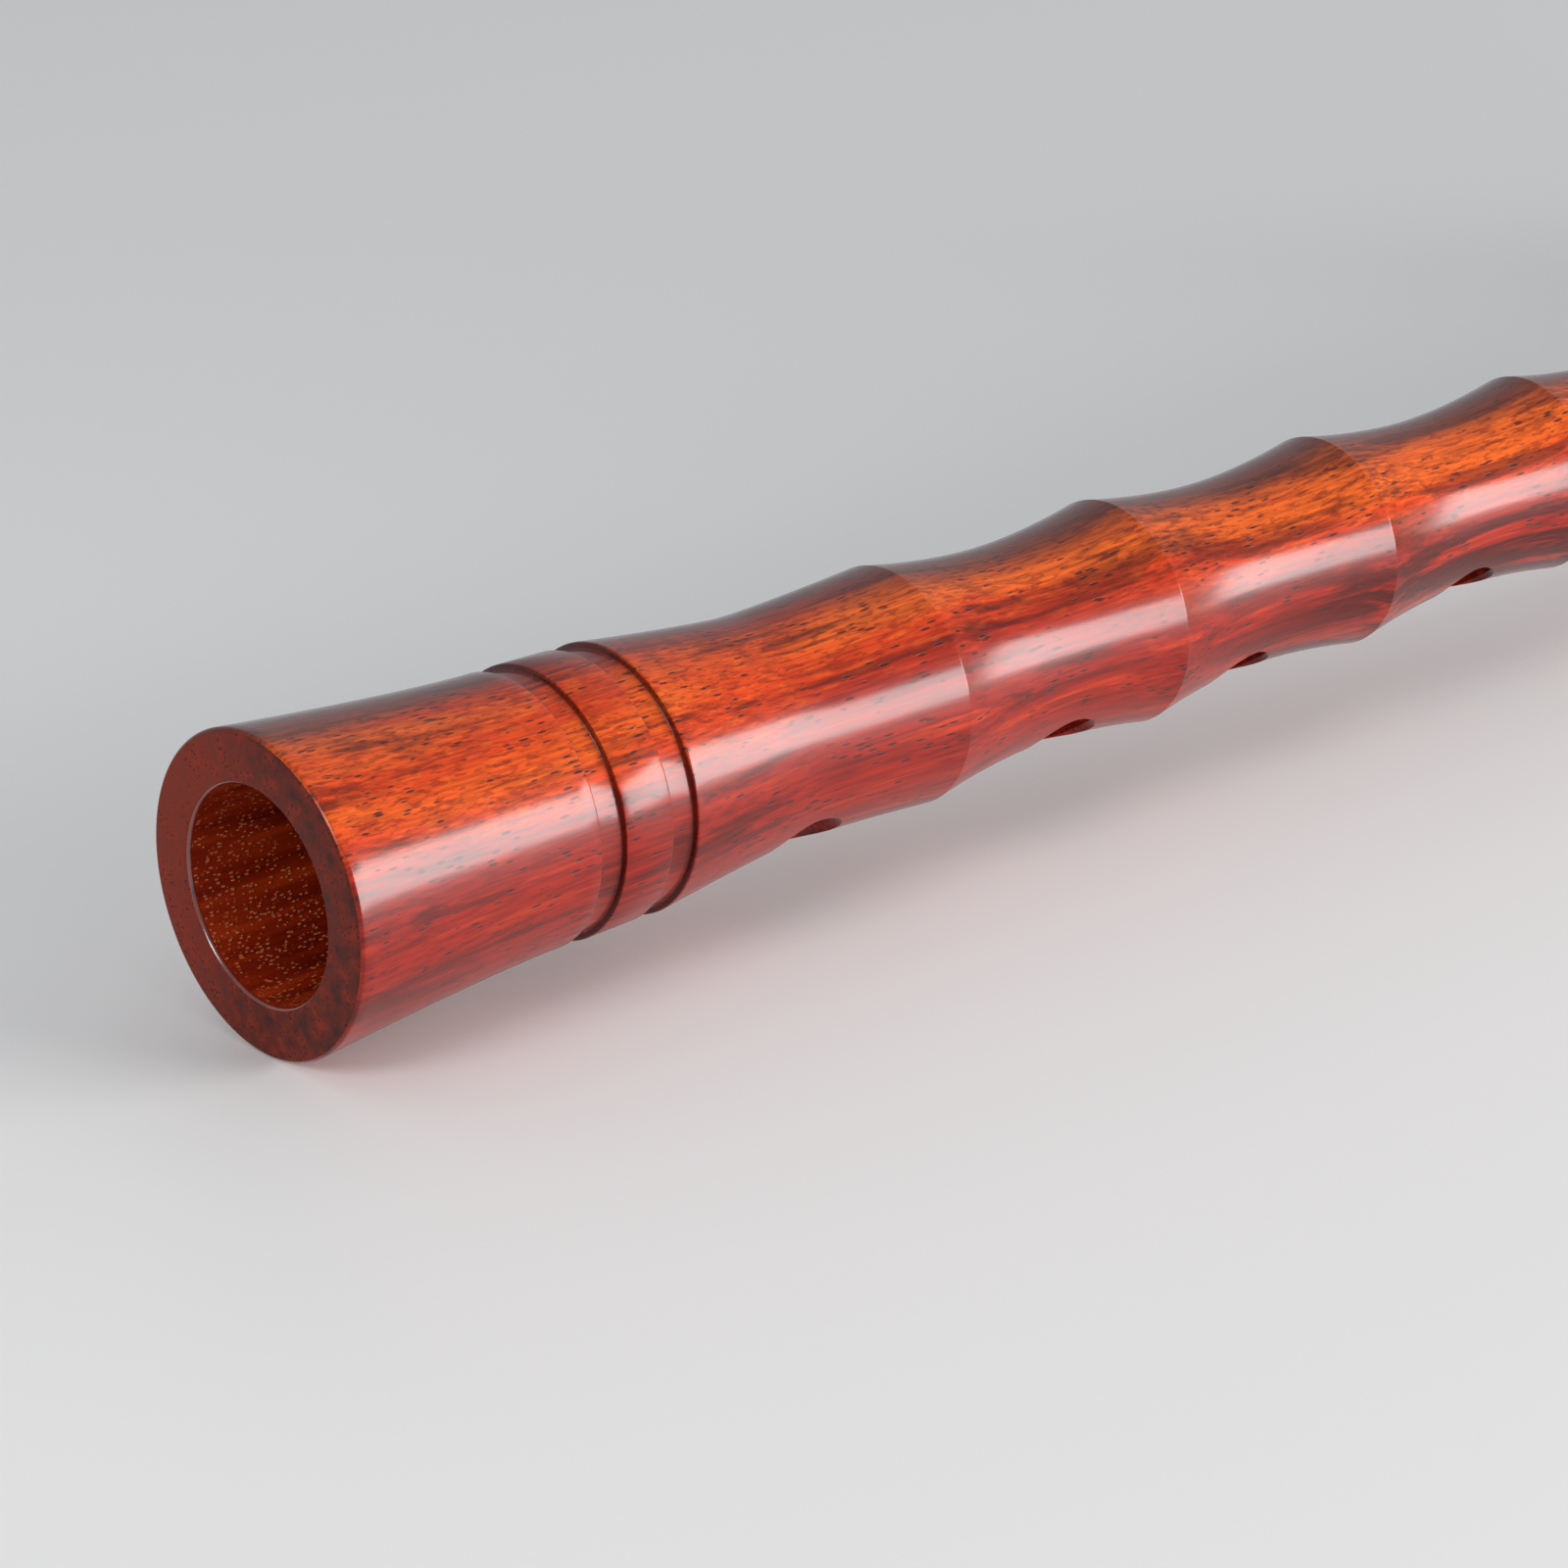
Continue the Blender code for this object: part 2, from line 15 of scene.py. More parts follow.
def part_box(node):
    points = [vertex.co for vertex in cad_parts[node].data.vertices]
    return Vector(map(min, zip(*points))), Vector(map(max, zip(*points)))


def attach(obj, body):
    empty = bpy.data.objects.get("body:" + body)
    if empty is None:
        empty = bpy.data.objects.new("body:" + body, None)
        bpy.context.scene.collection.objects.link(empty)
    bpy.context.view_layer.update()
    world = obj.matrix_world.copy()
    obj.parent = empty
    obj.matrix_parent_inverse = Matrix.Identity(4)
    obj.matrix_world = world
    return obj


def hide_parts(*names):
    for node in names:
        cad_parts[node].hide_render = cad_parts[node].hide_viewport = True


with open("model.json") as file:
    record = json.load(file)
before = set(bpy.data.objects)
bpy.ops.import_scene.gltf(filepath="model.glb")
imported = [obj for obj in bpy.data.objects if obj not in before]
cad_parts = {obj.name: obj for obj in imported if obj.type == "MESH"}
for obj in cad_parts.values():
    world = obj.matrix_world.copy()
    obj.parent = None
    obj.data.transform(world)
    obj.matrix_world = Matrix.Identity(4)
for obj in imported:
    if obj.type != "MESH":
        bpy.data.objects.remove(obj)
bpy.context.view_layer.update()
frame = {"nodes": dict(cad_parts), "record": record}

MM = 0.001
print("nodes in the frame:", len(frame["nodes"]))

# %% [markdown]
# All the turned pieces share one of two lathe axes. The stem's axis comes from the joint that the
# staple slides along, and its foot from the mount on the end face. The bell stands upright, so
# the middle of its rim is enough. A matrix for each axis puts a lathe's Z along it.

# %% The two lathe axes
joints = {joint["name"]: joint for joint in frame["record"]["behaviour"]["joints"]}
mounts = {mount["name"]: mount for mount in frame["record"]["mounts"]}
stem_direction = Vector(joints["staple_pull"]["axis"]).normalized()
on_axis = Vector(joints["lip_disc_turn"]["pos_m"])
foot_mount = Vector(mounts["foot_end"]["pos_m"])
foot_centre = on_axis + stem_direction * (foot_mount - on_axis).dot(stem_direction)
stem_slope = math.asin(stem_direction.z)
stem_turn = math.pi / 2 - stem_slope
stem_axis = (foot_centre, stem_turn)
stem_lathe = Matrix.Translation(foot_centre) @ Matrix.Rotation(stem_turn, 4, "Y")

rim_low, rim_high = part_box("bell_rim_roll")
bell_centre = Vector(((rim_low.x + rim_high.x) / 2, (rim_low.y + rim_high.y) / 2, 0.0))
bell_axis = (bell_centre, 0.0)
bell_lathe = Matrix.Translation(bell_centre)
print("foot centre", [round(v, 4) for v in foot_centre], "slope", round(math.degrees(stem_slope), 2))

# %% [markdown]
# The camera stands where the photograph was taken from. In the photograph the foot's centre lies
# at a known pixel and distance, and the stem's axis runs off to the right and away by two angles.
# With a level camera that is all it takes: the slope of the axis gives the camera's pitch.

# %% Camera
PICTURE_SIDE = 1600
LENS = 180.0
SENSOR = 36.0
CLIP_START = 0.01
FOOT_DISTANCE = 0.6723          # metres from the lens, along the view
FOOT_PIXEL = (261.4, 915.1)
AXIS_CLIMB = 0.328              # radians above the picture's horizontal
AXIS_AWAY = 0.6253              # radians away from the picture plane

seen_axis = Vector((
    math.cos(AXIS_AWAY) * math.cos(AXIS_CLIMB),
    math.cos(AXIS_AWAY) * math.sin(AXIS_CLIMB),
    -math.sin(AXIS_AWAY),
))
upright_share = math.hypot(seen_axis.y, seen_axis.z)
pitch = math.atan2(seen_axis.z, seen_axis.y) + math.acos(math.sin(stem_slope) / upright_share)
ahead = seen_axis.y * math.sin(pitch) - seen_axis.z * math.cos(pitch)
heading = math.atan2(ahead, seen_axis.x)

view_right = Vector((math.cos(heading), -math.sin(heading), 0.0))
view_level = Vector((math.sin(heading), math.cos(heading), 0.0))
view_up = view_level * math.sin(pitch) + Vector((0.0, 0.0, math.cos(pitch)))
view_back = Vector((0.0, 0.0, math.sin(pitch))) - view_level * math.cos(pitch)

pixels_per_unit = LENS / SENSOR * PICTURE_SIDE
foot_right = (FOOT_PIXEL[0] - PICTURE_SIDE / 2) / pixels_per_unit * FOOT_DISTANCE
foot_up = (PICTURE_SIDE / 2 - FOOT_PIXEL[1]) / pixels_per_unit * FOOT_DISTANCE
camera_place = foot_centre - view_right * foot_right - view_up * foot_up + view_back * FOOT_DISTANCE

camera_data = bpy.data.cameras.new("camera")
camera_data.lens = LENS
camera_data.sensor_width = SENSOR
camera_data.clip_start = CLIP_START
camera = bpy.data.objects.new("camera", camera_data)
axes = Matrix((view_right, view_up, view_back)).transposed().to_4x4()
camera.matrix_world = Matrix.Translation(camera_place) @ axes
bpy.context.scene.collection.objects.link(camera)
bpy.context.scene.camera = camera
print("camera looks down", round(math.degrees(pitch), 1), "degrees")

# %% [markdown]
# The floor is plain and pale. One low, wide soft box stands off to the right, where the long
# highlight on the stem asks for it. A small one by the foot looks into the bore and draws the
# glint on its rim. The rest is filled by the world, because an even glow shows no shape in the
# lacquer, where a second large lamp would draw bright patches.

# %% Floor, world and lights
FLOOR_SIDE = 8.0
FLOOR_COLOUR = (0.90, 0.895, 0.88)
FLOOR_ROUGHNESS = 0.5
SKY_COLOUR = (0.92, 0.95, 1.0)
SKY_STRENGTH = 0.46
SIDE_BOX_AIM = 80 * MM          # along the stem from its foot
SIDE_BOX_OFFSET = Vector((0.43875, -0.6075, 0.13))
SIDE_BOX_SIZE = (0.58, 0.31)
SIDE_BOX_POWER = 7.6
SIDE_BOX_COLOUR = (1.0, 0.96, 0.95)
END_BOX_OFFSET = Vector((-0.55, -0.15, 0.38))
END_BOX_SIZE = (0.26, 0.26)
END_BOX_POWER = 1.6
END_BOX_COLOUR = (1.0, 1.0, 1.0)


def opaque(colour):
    return (*colour, 1.0)


def soft_box(name, target, offset, size, power, colour):
    """A rectangular lamp that stands off from its target and faces it."""
    lamp_data = bpy.data.lights.new(name, "AREA")
    lamp_data.shape = "RECTANGLE"
    lamp_data.size, lamp_data.size_y = size
    lamp_data.energy = power
    lamp_data.color = colour
    lamp = bpy.data.objects.new(name, lamp_data)
    facing = (-offset).to_track_quat("-Z", "Y").to_matrix().to_4x4()
    lamp.matrix_world = Matrix.Translation(target + offset) @ facing
    bpy.context.scene.collection.objects.link(lamp)


floor_shape = bmesh.new()
bmesh.ops.create_grid(floor_shape, x_segments=1, y_segments=1, size=FLOOR_SIDE / 2)
floor_mesh = bpy.data.meshes.new("floor")
floor_shape.to_mesh(floor_mesh)
floor_shape.free()
floor = bpy.data.objects.new("floor", floor_mesh)
bpy.context.scene.collection.objects.link(floor)
floor_material = bpy.data.materials.new("floor")
floor_material.use_nodes = True
floor_shader = floor_material.node_tree.nodes["Principled BSDF"]
floor_shader.inputs["Base Color"].default_value = opaque(FLOOR_COLOUR)
floor_shader.inputs["Roughness"].default_value = FLOOR_ROUGHNESS
floor_mesh.materials.append(floor_material)

world = bpy.data.worlds.new("studio")
world.use_nodes = True
sky = world.node_tree.nodes["Background"]
sky.inputs["Color"].default_value = opaque(SKY_COLOUR)
sky.inputs["Strength"].default_value = SKY_STRENGTH
bpy.context.scene.world = world

soft_box("side_box", foot_centre + stem_direction * SIDE_BOX_AIM, SIDE_BOX_OFFSET, SIDE_BOX_SIZE,
         SIDE_BOX_POWER, SIDE_BOX_COLOUR)
soft_box("end_box", foot_centre, END_BOX_OFFSET, END_BOX_SIZE, END_BOX_POWER, END_BOX_COLOUR)
bpy.context.scene.view_settings.view_transform = "Standard"

# %% [markdown]
# The stem is a chain of lengths from the foot's face upwards: the flared foot, two shallow grooves
# with a band between them, hollows divided by seven ridges, and the tenon under the ferrule.
# Most are the sizes that its plain solid was built with. They come before the finishes,
# because shade is painted darker into the wood in the far corner of each groove.

# %% The stem's sizes
FOOT_LENGTH = 27.9 * MM
FOOT_RADIUS = 15.0 * MM
FOOT_RIM_ROUND = 0.5 * MM
FOOT_FLARE_POWER = 1.34
GROOVE_WIDTH = 2.75 * MM
GROOVE_DEPTH = 0.6 * MM
GROOVE_LIP = 0.18 * MM
BAND_LENGTH = 5.35 * MM
WAIST_RADIUS = 12.7 * MM
UPPER_WAIST_RADIUS = 12.55 * MM
FIRST_HOLLOW_LENGTH = 32.8 * MM
FIRST_HOLLOW_DEPTH = 1.28 * MM
FIRST_HOLLOW_POWER = 1.32
RIDGE_COUNT = 7
RIDGE_PITCH = 27.1 * MM
FIRST_RIDGE_RADIUS = 11.25 * MM
RIDGE_STEP_DOWN = 0.548 * MM
HOLLOW_DEPTH = 1.44 * MM
HOLLOW_POWER = 1.83
TOP_HOLLOW_LENGTH = 34.1 * MM
COLLAR_LENGTH = 2.5 * MM
COLLAR_RADIUS = 7.6 * MM
TENON_LENGTH = 14.0 * MM
TENON_RADIUS = 7.1 * MM
SOCKET_RADIUS = 4.2 * MM
SOCKET_DEPTH = 30.0 * MM
BORE_TOP_RADIUS = 3.4 * MM
BORE_FOOT_RADIUS = 10.0 * MM
BORE_RIM_ROUND = 0.45 * MM

first_groove = FOOT_LENGTH
second_groove = first_groove + GROOVE_WIDTH + BAND_LENGTH
hollows_start = second_groove + GROOVE_WIDTH
first_ridge = hollows_start + FIRST_HOLLOW_LENGTH
last_ridge = first_ridge + (RIDGE_COUNT - 1) * RIDGE_PITCH
collar_start = last_ridge + TOP_HOLLOW_LENGTH
shoulder = collar_start + COLLAR_LENGTH
stem_length = shoulder + TENON_LENGTH
bore_top = stem_length - SOCKET_DEPTH


def ridge(number):
    """How far up the stem a ridge stands, and its radius."""
    return first_ridge + number * RIDGE_PITCH, FIRST_RIDGE_RADIUS - number * RIDGE_STEP_DOWN


print("stem is", round(stem_length / MM, 1), "mm long, with", RIDGE_COUNT, "ridges")

# %% [markdown]
# A finish is built from a few nodes. To keep each recipe short, small helpers add a node, feed
# its sockets and return it. Every pattern reads Object coordinates, set square to its lathe axis
# by a Mapping node, so that grain runs along the stem and spinning marks run round the bell.

# %% Helpers for finishes
COLOUR_A = 6                    # the Mix node's colour sockets share names with its others
COLOUR_B = 7
COLOUR_RESULT = 2


class Finish:
    """A Principled material with helpers that add and join its nodes."""

    def __init__(self, name, axis, roughness, metallic=0.0):
        self.material = bpy.data.materials.new(name)
        self.material.use_nodes = True
        self.tree = self.material.node_tree
        self.shader = self.tree.nodes["Principled BSDF"]
        self.use("Roughness", roughness)
        self.use("Metallic", metallic)
        self.place = self.axis_coordinates(*axis)

    def use(self, socket, value):
        """Give one of the shader's own sockets a constant or a link."""
        self.feed(self.shader.inputs[socket], value)

    def feed(self, socket, value):
        if isinstance(value, bpy.types.NodeSocket):
            self.tree.links.new(value, socket)
        else:
            socket.default_value = value

    def node(self, kind, sockets, **settings):
        """Add a node with its settings, and feed its sockets."""
        made = self.tree.nodes.new(kind)
        for key, value in settings.items():
            setattr(made, key, value)
        for key, value in sockets.items():
            self.feed(made.inputs[key], value)
        return made

    def axis_coordinates(self, centre, turn):
        """Object coordinates, moved and turned so that Z runs along the piece's own axis."""
        source = self.node("ShaderNodeTexCoord", {})
        sockets = {"Vector": source.outputs["Object"], "Location": centre, "Rotation": (0.0, turn, 0.0)}
        return self.node("ShaderNodeMapping", sockets, vector_type="TEXTURE").outputs["Vector"]

    def stretched(self, across, along):
        """The piece's coordinates scaled across and along its axis."""
        sockets = {"Vector": self.place, "Scale": (across, across, along)}
        return self.node("ShaderNodeMapping", sockets).outputs["Vector"]

    def noise(self, across, along, detail=3.0, roughness=0.55, distortion=0.0):
        sockets = {"Vector": self.stretched(across, along), "Scale": 1.0, "Detail": detail,
                   "Roughness": roughness, "Distortion": distortion}
        return self.node("ShaderNodeTexNoise", sockets).outputs["Fac"]

    def ramp(self, value, *stops):
        """Colours along a value, each stop a position and a colour."""
        made = self.node("ShaderNodeValToRGB", {"Fac": value})
        elements = made.color_ramp.elements
        while len(elements) < len(stops):
            elements.new(0.5)
        for element, (position, colour) in zip(elements, stops):
            element.position = position
            element.color = opaque(colour)
        return made.outputs["Color"]

    def fade(self, value, low, high, first=0.0, last=1.0):
        """Go softly from first to last while a value goes from low to high."""
        sockets = {"Value": value, "From Min": low, "From Max": high, "To Min": first, "To Max": last}
        return self.node("ShaderNodeMapRange", sockets, interpolation_type="SMOOTHSTEP").outputs["Result"]

    def calculate(self, operation, first, second=0.0):
        return self.node("ShaderNodeMath", {0: first, 1: second}, operation=operation).outputs["Value"]

    def both(self, first, second):
        """Where two masks meet."""
        return self.calculate("MULTIPLY", first, second)

    def blend(self, share, first, second, mode="MIX"):
        sockets = {"Factor": share, COLOUR_A: first, COLOUR_B: second}
        made = self.node("ShaderNodeMix", sockets, data_type="RGBA", blend_type=mode)
        return made.outputs[COLOUR_RESULT]

    def bump(self, height, depth, **under):
        sockets = {"Height": height, "Strength": 1.0, "Distance": depth, **under}
        return self.node("ShaderNodeBump", sockets).outputs["Normal"]


print("a finish can", [name for name in vars(Finish) if not name.startswith("_")])

# %% [markdown]
# Rosewood seen through clear lacquer has four things in it: a slow change of tone round and along
# the stem, streaks that run with the grain, short dark pores, and a fine fibre. On this stem a
# bright orange stripe runs down the near side and the rest is red, and the top is painted dark
# red-brown as painted shade.
# The stripe is a ramp on the direction round the stem, and a slow noise makes its edge wander.
# Streaks and fibre are noises stretched along the axis, as are the gold flecks and dark specks
# that break the stripe up. Pores are the middles of stretched Voronoi cells. Lacquer is the
# shader's coat, so its roughness is set on the socket.

# %% The rosewood's figure
# the darkest tone is the dark streaks' own colour, and also the painted shade on the top and in the grooves
DARK_WOOD_AND_SHADE = (0.060, 0.0030, 0.0006)
DEEP_WOOD = (0.17, 0.007, 0.001)
RED_WOOD = (0.27, 0.0095, 0.002)
ORANGE_WOOD = (0.58, 0.046, 0.003)
GOLD_WOOD = (0.68, 0.105, 0.008)
PORE_COLOUR = (0.030, 0.003, 0.001)
STRIPE_TURN = math.radians(-153)    # the bright stripe, turned from the underside to the near side
# SHADE_TURN is the direction round the stem where painted shade darkens the top
SHADE_TURN = math.radians(145)      # the dark top, a little beyond the highest line
STREAK_TURN = math.radians(-62)     # the dark streaks, low on the near side
STREAKS_START = 85 * MM
STREAKS_FULL = 130 * MM
# painted shade in each groove's far corner: its place by the wall, and where it is full and where gone
CORNER_FROM_WALL = 0.1 * MM
CORNER_DARK = 0.05 * MM
CORNER_FADED = 0.2 * MM
NOISE_MIDDLE = 0.5
WANDER = 0.9
PORE_CORE = 0.55                    # share of a pore that is quite dark
PATCH_ACROSS = 0.16                 # pores come in patches, larger than a pore by these shares
PATCH_ALONG = 0.5
PATCH_EDGE = 0.1
FIBRE_RELIEF = 0.012 * MM
PORE_RELIEF = 0.03 * MM


def round_stem(finish, turn_angle):
    """How far a point faces a direction round the stem: 1 straight at it and -1 away from it."""
    apart = finish.node("ShaderNodeSeparateXYZ", {"Vector": finish.place}).outputs
    spot = finish.node("ShaderNodeCombineXYZ", {"X": apart["X"], "Y": apart["Y"]}).outputs["Vector"]
    unit = finish.node("ShaderNodeVectorMath", {0: spot}, operation="NORMALIZE").outputs["Vector"]
    direction = (math.cos(turn_angle), math.sin(turn_angle), 0.0)
    facing = finish.node("ShaderNodeVectorMath", {0: unit, 1: direction}, operation="DOT_PRODUCT")
    return facing.outputs["Value"]


def pores(finish, across, along, size, patches_from=0.46):
    """Short dark dashes: 1 in a pore and 0 between them."""
    sockets = {"Vector": finish.stretched(across, along), "Scale": 1.0}
    cells = finish.node("ShaderNodeTexVoronoi", sockets).outputs["Distance"]
    near = finish.fade(cells, low=size * PORE_CORE, high=size, first=1.0, last=0.0)
    spread = finish.noise(across * PATCH_ACROSS, along * PATCH_ALONG)
    return finish.both(near, finish.fade(spread, low=patches_from, high=patches_from + PATCH_EDGE))


def rosewood():
    finish = Finish("rosewood", stem_axis, roughness=0.3)
    along = finish.node("ShaderNodeSeparateXYZ", {"Vector": finish.place}).outputs["Z"]
    slow = finish.noise(across=75.0, along=16.0, roughness=0.6, distortion=0.4)
    streak = finish.noise(across=480.0, along=15.0, detail=4.0, roughness=0.62, distortion=0.3)
    fleck = finish.noise(across=1500.0, along=330.0, roughness=0.6)
    fibre = finish.noise(across=3200.0, along=110.0, detail=2.0, roughness=0.5)
    speck = finish.noise(across=2500.0, along=560.0, detail=2.0, roughness=0.6)
    wander = finish.calculate("MULTIPLY", finish.calculate("SUBTRACT", slow, NOISE_MIDDLE), WANDER)

    stripe = finish.calculate("ADD", round_stem(finish, STRIPE_TURN), wander)
    tone = finish.ramp(stripe, (0.0, RED_WOOD), (0.72, RED_WOOD), (0.90, ORANGE_WOOD), (1.0, GOLD_WOOD))
    light_streaks = finish.fade(streak, low=0.30, high=0.46, first=0.55, last=0.0)
    tone = finish.blend(light_streaks, tone, opaque(ORANGE_WOOD))
    in_stripe = finish.fade(stripe, low=0.65, high=0.95)
    light_flecks = finish.both(finish.fade(fleck, low=0.50, high=0.70, last=0.7), in_stripe)
    tone = finish.blend(light_flecks, tone, opaque(GOLD_WOOD))
    dark_specks = finish.both(finish.fade(speck, low=0.50, high=0.62, last=0.52), in_stripe)
    tone = finish.blend(dark_specks, tone, opaque(DEEP_WOOD))

    # painted shade: the top of the stem is painted dark, standing for the shade the side light leaves there
    top_shade_facing = finish.calculate("ADD", round_stem(finish, SHADE_TURN), wander)
    tone = finish.blend(finish.fade(top_shade_facing, low=0.55, high=0.95, last=0.8), tone, opaque(DARK_WOOD_AND_SHADE))
    low_side = finish.fade(round_stem(finish, STREAK_TURN), low=0.55, high=0.95)
    far_low_side = finish.both(finish.fade(along, low=STREAKS_START, high=STREAKS_FULL), low_side)
    far_streaks = finish.both(finish.fade(streak, low=0.42, high=0.54, last=0.92), far_low_side)
    dark_streaks = finish.fade(streak, low=0.50, high=0.64, last=0.66)
    all_streaks = finish.calculate("MAXIMUM", dark_streaks, far_streaks)
    tone = finish.blend(all_streaks, tone, opaque(DARK_WOOD_AND_SHADE))
    # painted shade: the far corner of each groove is painted darker, where its wall lies in shadow
    for groove_start in (first_groove, second_groove):
        corner = groove_start + GROOVE_WIDTH - CORNER_FROM_WALL
        apart = finish.calculate("ABSOLUTE", finish.calculate("SUBTRACT", along, corner))
        painted_groove_shade = finish.fade(apart, low=CORNER_DARK, high=CORNER_FADED, first=0.8, last=0.0)
        tone = finish.blend(painted_groove_shade, tone, opaque(DARK_WOOD_AND_SHADE))

    fine = finish.fade(fibre, low=0.3, high=0.7, first=0.7, last=1.15)
    tone = finish.blend(1.0, tone, fine, "MULTIPLY")
    dashes = pores(finish, across=2100.0, along=420.0, size=0.32)
    tone = finish.blend(finish.both(dashes, 0.85), tone, opaque(PORE_COLOUR))
    finish.use("Base Color", tone)
    finish.use("Roughness", finish.fade(fibre, low=0.2, high=0.8, first=0.28, last=0.42))
    finish.use("Specular IOR Level", 0.1)
    finish.use("Coat Weight", 0.8)
    finish.use("Coat Roughness", 0.165)
    finish.use("Coat IOR", 1.42)
    relief = finish.bump(fibre, FIBRE_RELIEF)
    finish.use("Normal", finish.bump(finish.calculate("SUBTRACT", 1.0, dashes), PORE_RELIEF, Normal=relief))
    return finish.material


rosewood_finish = rosewood()
print("made", rosewood_finish.name)

# %% [markdown]
# End grain drinks its finish and stays duller and browner, and one side of its face is painted
# lighter as painted light. Its pores are cut across, so they are dots and not dashes. Inside the
# bore the reamer left the pores open, and bright specks painted into the colour stand for the
# sparkle of their edges.
# The bore's rim was rubbed smooth, so it gets the clearest coat and shows a thin white glint.

# %% End grain and bore
END_DARK = (0.045, 0.006, 0.003)
END_MIDDLE = (0.12, 0.012, 0.005)
END_LIGHT = (0.22, 0.022, 0.008)
END_LIT_SIDE = (0.26, 0.026, 0.008)
END_DOTS = (0.02, 0.003, 0.002)
END_LIT_TURN = math.radians(100)
END_RELIEF = 0.06 * MM
BORE_DARK = (0.12, 0.006, 0.001)
BORE_MIDDLE = (0.27, 0.017, 0.002)
BORE_LIGHT = (0.46, 0.046, 0.005)
# BORE_SPARKLE is a painted highlight: a bright colour for the glitter of the open pores
BORE_SPARKLE = (0.80, 0.20, 0.06)
BORE_RELIEF = 0.12 * MM
RIM_DARK = (0.10, 0.008, 0.003)
RIM_LIGHT = (0.24, 0.022, 0.006)


def end_grain():
    finish = Finish("end_grain", stem_axis, roughness=0.55)
    finish.use("Specular IOR Level", 0.2)
    blotch = finish.noise(across=420.0, along=420.0, detail=5.0, roughness=0.7)
    tone = finish.ramp(blotch, (0.36, END_DARK), (0.50, END_MIDDLE), (0.66, END_LIGHT))
    # painted light: the end face is painted lighter towards one side, as if lit from there
    side = finish.fade(round_stem(finish, END_LIT_TURN), low=-0.2, high=0.9, last=0.55)
    tone = finish.blend(side, tone, opaque(END_LIT_SIDE))
    dots = pores(finish, across=2600.0, along=2600.0, size=0.34)
    tone = finish.blend(finish.both(dots, 0.8), tone, opaque(END_DOTS))
    finish.use("Base Color", tone)
    finish.use("Roughness", finish.fade(blotch, low=0.3, high=0.7, first=0.42, last=0.62))
    finish.use("Normal", finish.bump(finish.calculate("SUBTRACT", blotch, dots), END_RELIEF))
    return finish.material


def bore_wood():
    finish = Finish("bore_wood", stem_axis, roughness=0.32)
    streak = finish.noise(across=520.0, along=40.0, detail=4.0, roughness=0.6)
    tone = finish.ramp(streak, (0.34, BORE_DARK), (0.5, BORE_MIDDLE), (0.68, BORE_LIGHT))
    pores_and_painted_sparkle = pores(finish, across=2700.0, along=1500.0, size=0.42, patches_from=0.40)
    # painted highlight: the open pores are painted bright orange as the sparkle of their edges
    tone = finish.blend(finish.both(pores_and_painted_sparkle, 0.75), tone, opaque(BORE_SPARKLE))
    finish.use("Base Color", tone)
    finish.use("Coat Weight", 0.5)
    finish.use("Coat Roughness", 0.12)
    finish.use("Normal", finish.bump(pores_and_painted_sparkle, BORE_RELIEF))
    return finish.material


def rubbed_rim():
    finish = Finish("rubbed_rim", stem_axis, roughness=0.3)
    wear = finish.noise(across=300.0, along=300.0, roughness=0.6)
    finish.use("Base Color", finish.ramp(wear, (0.35, RIM_DARK), (0.65, RIM_LIGHT)))
    finish.use("Coat Weight", 1.0)
    finish.use("Coat Roughness", 0.04)
    finish.use("Coat IOR", 1.7)
    return finish.material


end_grain_finish = end_grain()
bore_finish = bore_wood()
rim_finish = rubbed_rim()
print("made", end_grain_finish.name, bore_finish.name, "and", rim_finish.name)

# %% [markdown]
# Brass that was spun over a former and polished keeps fine rings round its axis, and darkens a
# little where hands don't rub it. The rings are noise that changes a hundred times faster along
# the axis than across it, in the bump, and a slow noise moves colour and roughness. Thread and
# cane need less: their shape does the work, so one fibre noise for tone and relief is enough.

# %% Brass, copper, thread and cane
BRASS = (0.83, 0.56, 0.20)
DULL_BRASS = (0.60, 0.37, 0.12)
STAPLE_BRASS = (0.78, 0.54, 0.24)
COPPER = (0.86, 0.44, 0.27)
DULL_COPPER = (0.6, 0.27, 0.15)
THREAD = (0.78, 0.68, 0.48)
THREAD_SHADE = (0.5, 0.38, 0.22)
THREAD_RELIEF = 0.04 * MM
CANE = (0.80, 0.62, 0.30)
CANE_SHADE = (0.52, 0.34, 0.12)
CANE_RELIEF = 0.03 * MM
RING_RELIEF = 0.012 * MM
POLISHED = 0.8                      # shares of a metal's roughness, where hands rub it
TARNISHED = 1.5


def metal(name, axis, bright, dull, roughness):
    finish = Finish(name, axis, roughness, metallic=1.0)
    tarnish = finish.noise(across=70.0, along=70.0, detail=4.0, roughness=0.6)
    rings = finish.noise(across=25.0, along=2600.0, detail=2.0, roughness=0.5)
    dullness = finish.fade(tarnish, low=0.42, high=0.7)
    finish.use("Base Color", finish.blend(dullness, opaque(bright), opaque(dull)))
    finish.use("Roughness", finish.fade(tarnish, low=0.3, high=0.75, first=roughness * POLISHED,
                                        last=roughness * TARNISHED))
    finish.use("Normal", finish.bump(rings, RING_RELIEF))
    return finish.material


def fibrous(name, light, shade, across, along, roughness, relief):
    finish = Finish(name, stem_axis, roughness)
    fibre = finish.noise(across, along, detail=4.0, roughness=0.6)
    finish.use("Base Color", finish.ramp(fibre, (0.35, shade), (0.65, light)))
    finish.use("Normal", finish.bump(fibre, relief))
    return finish.material


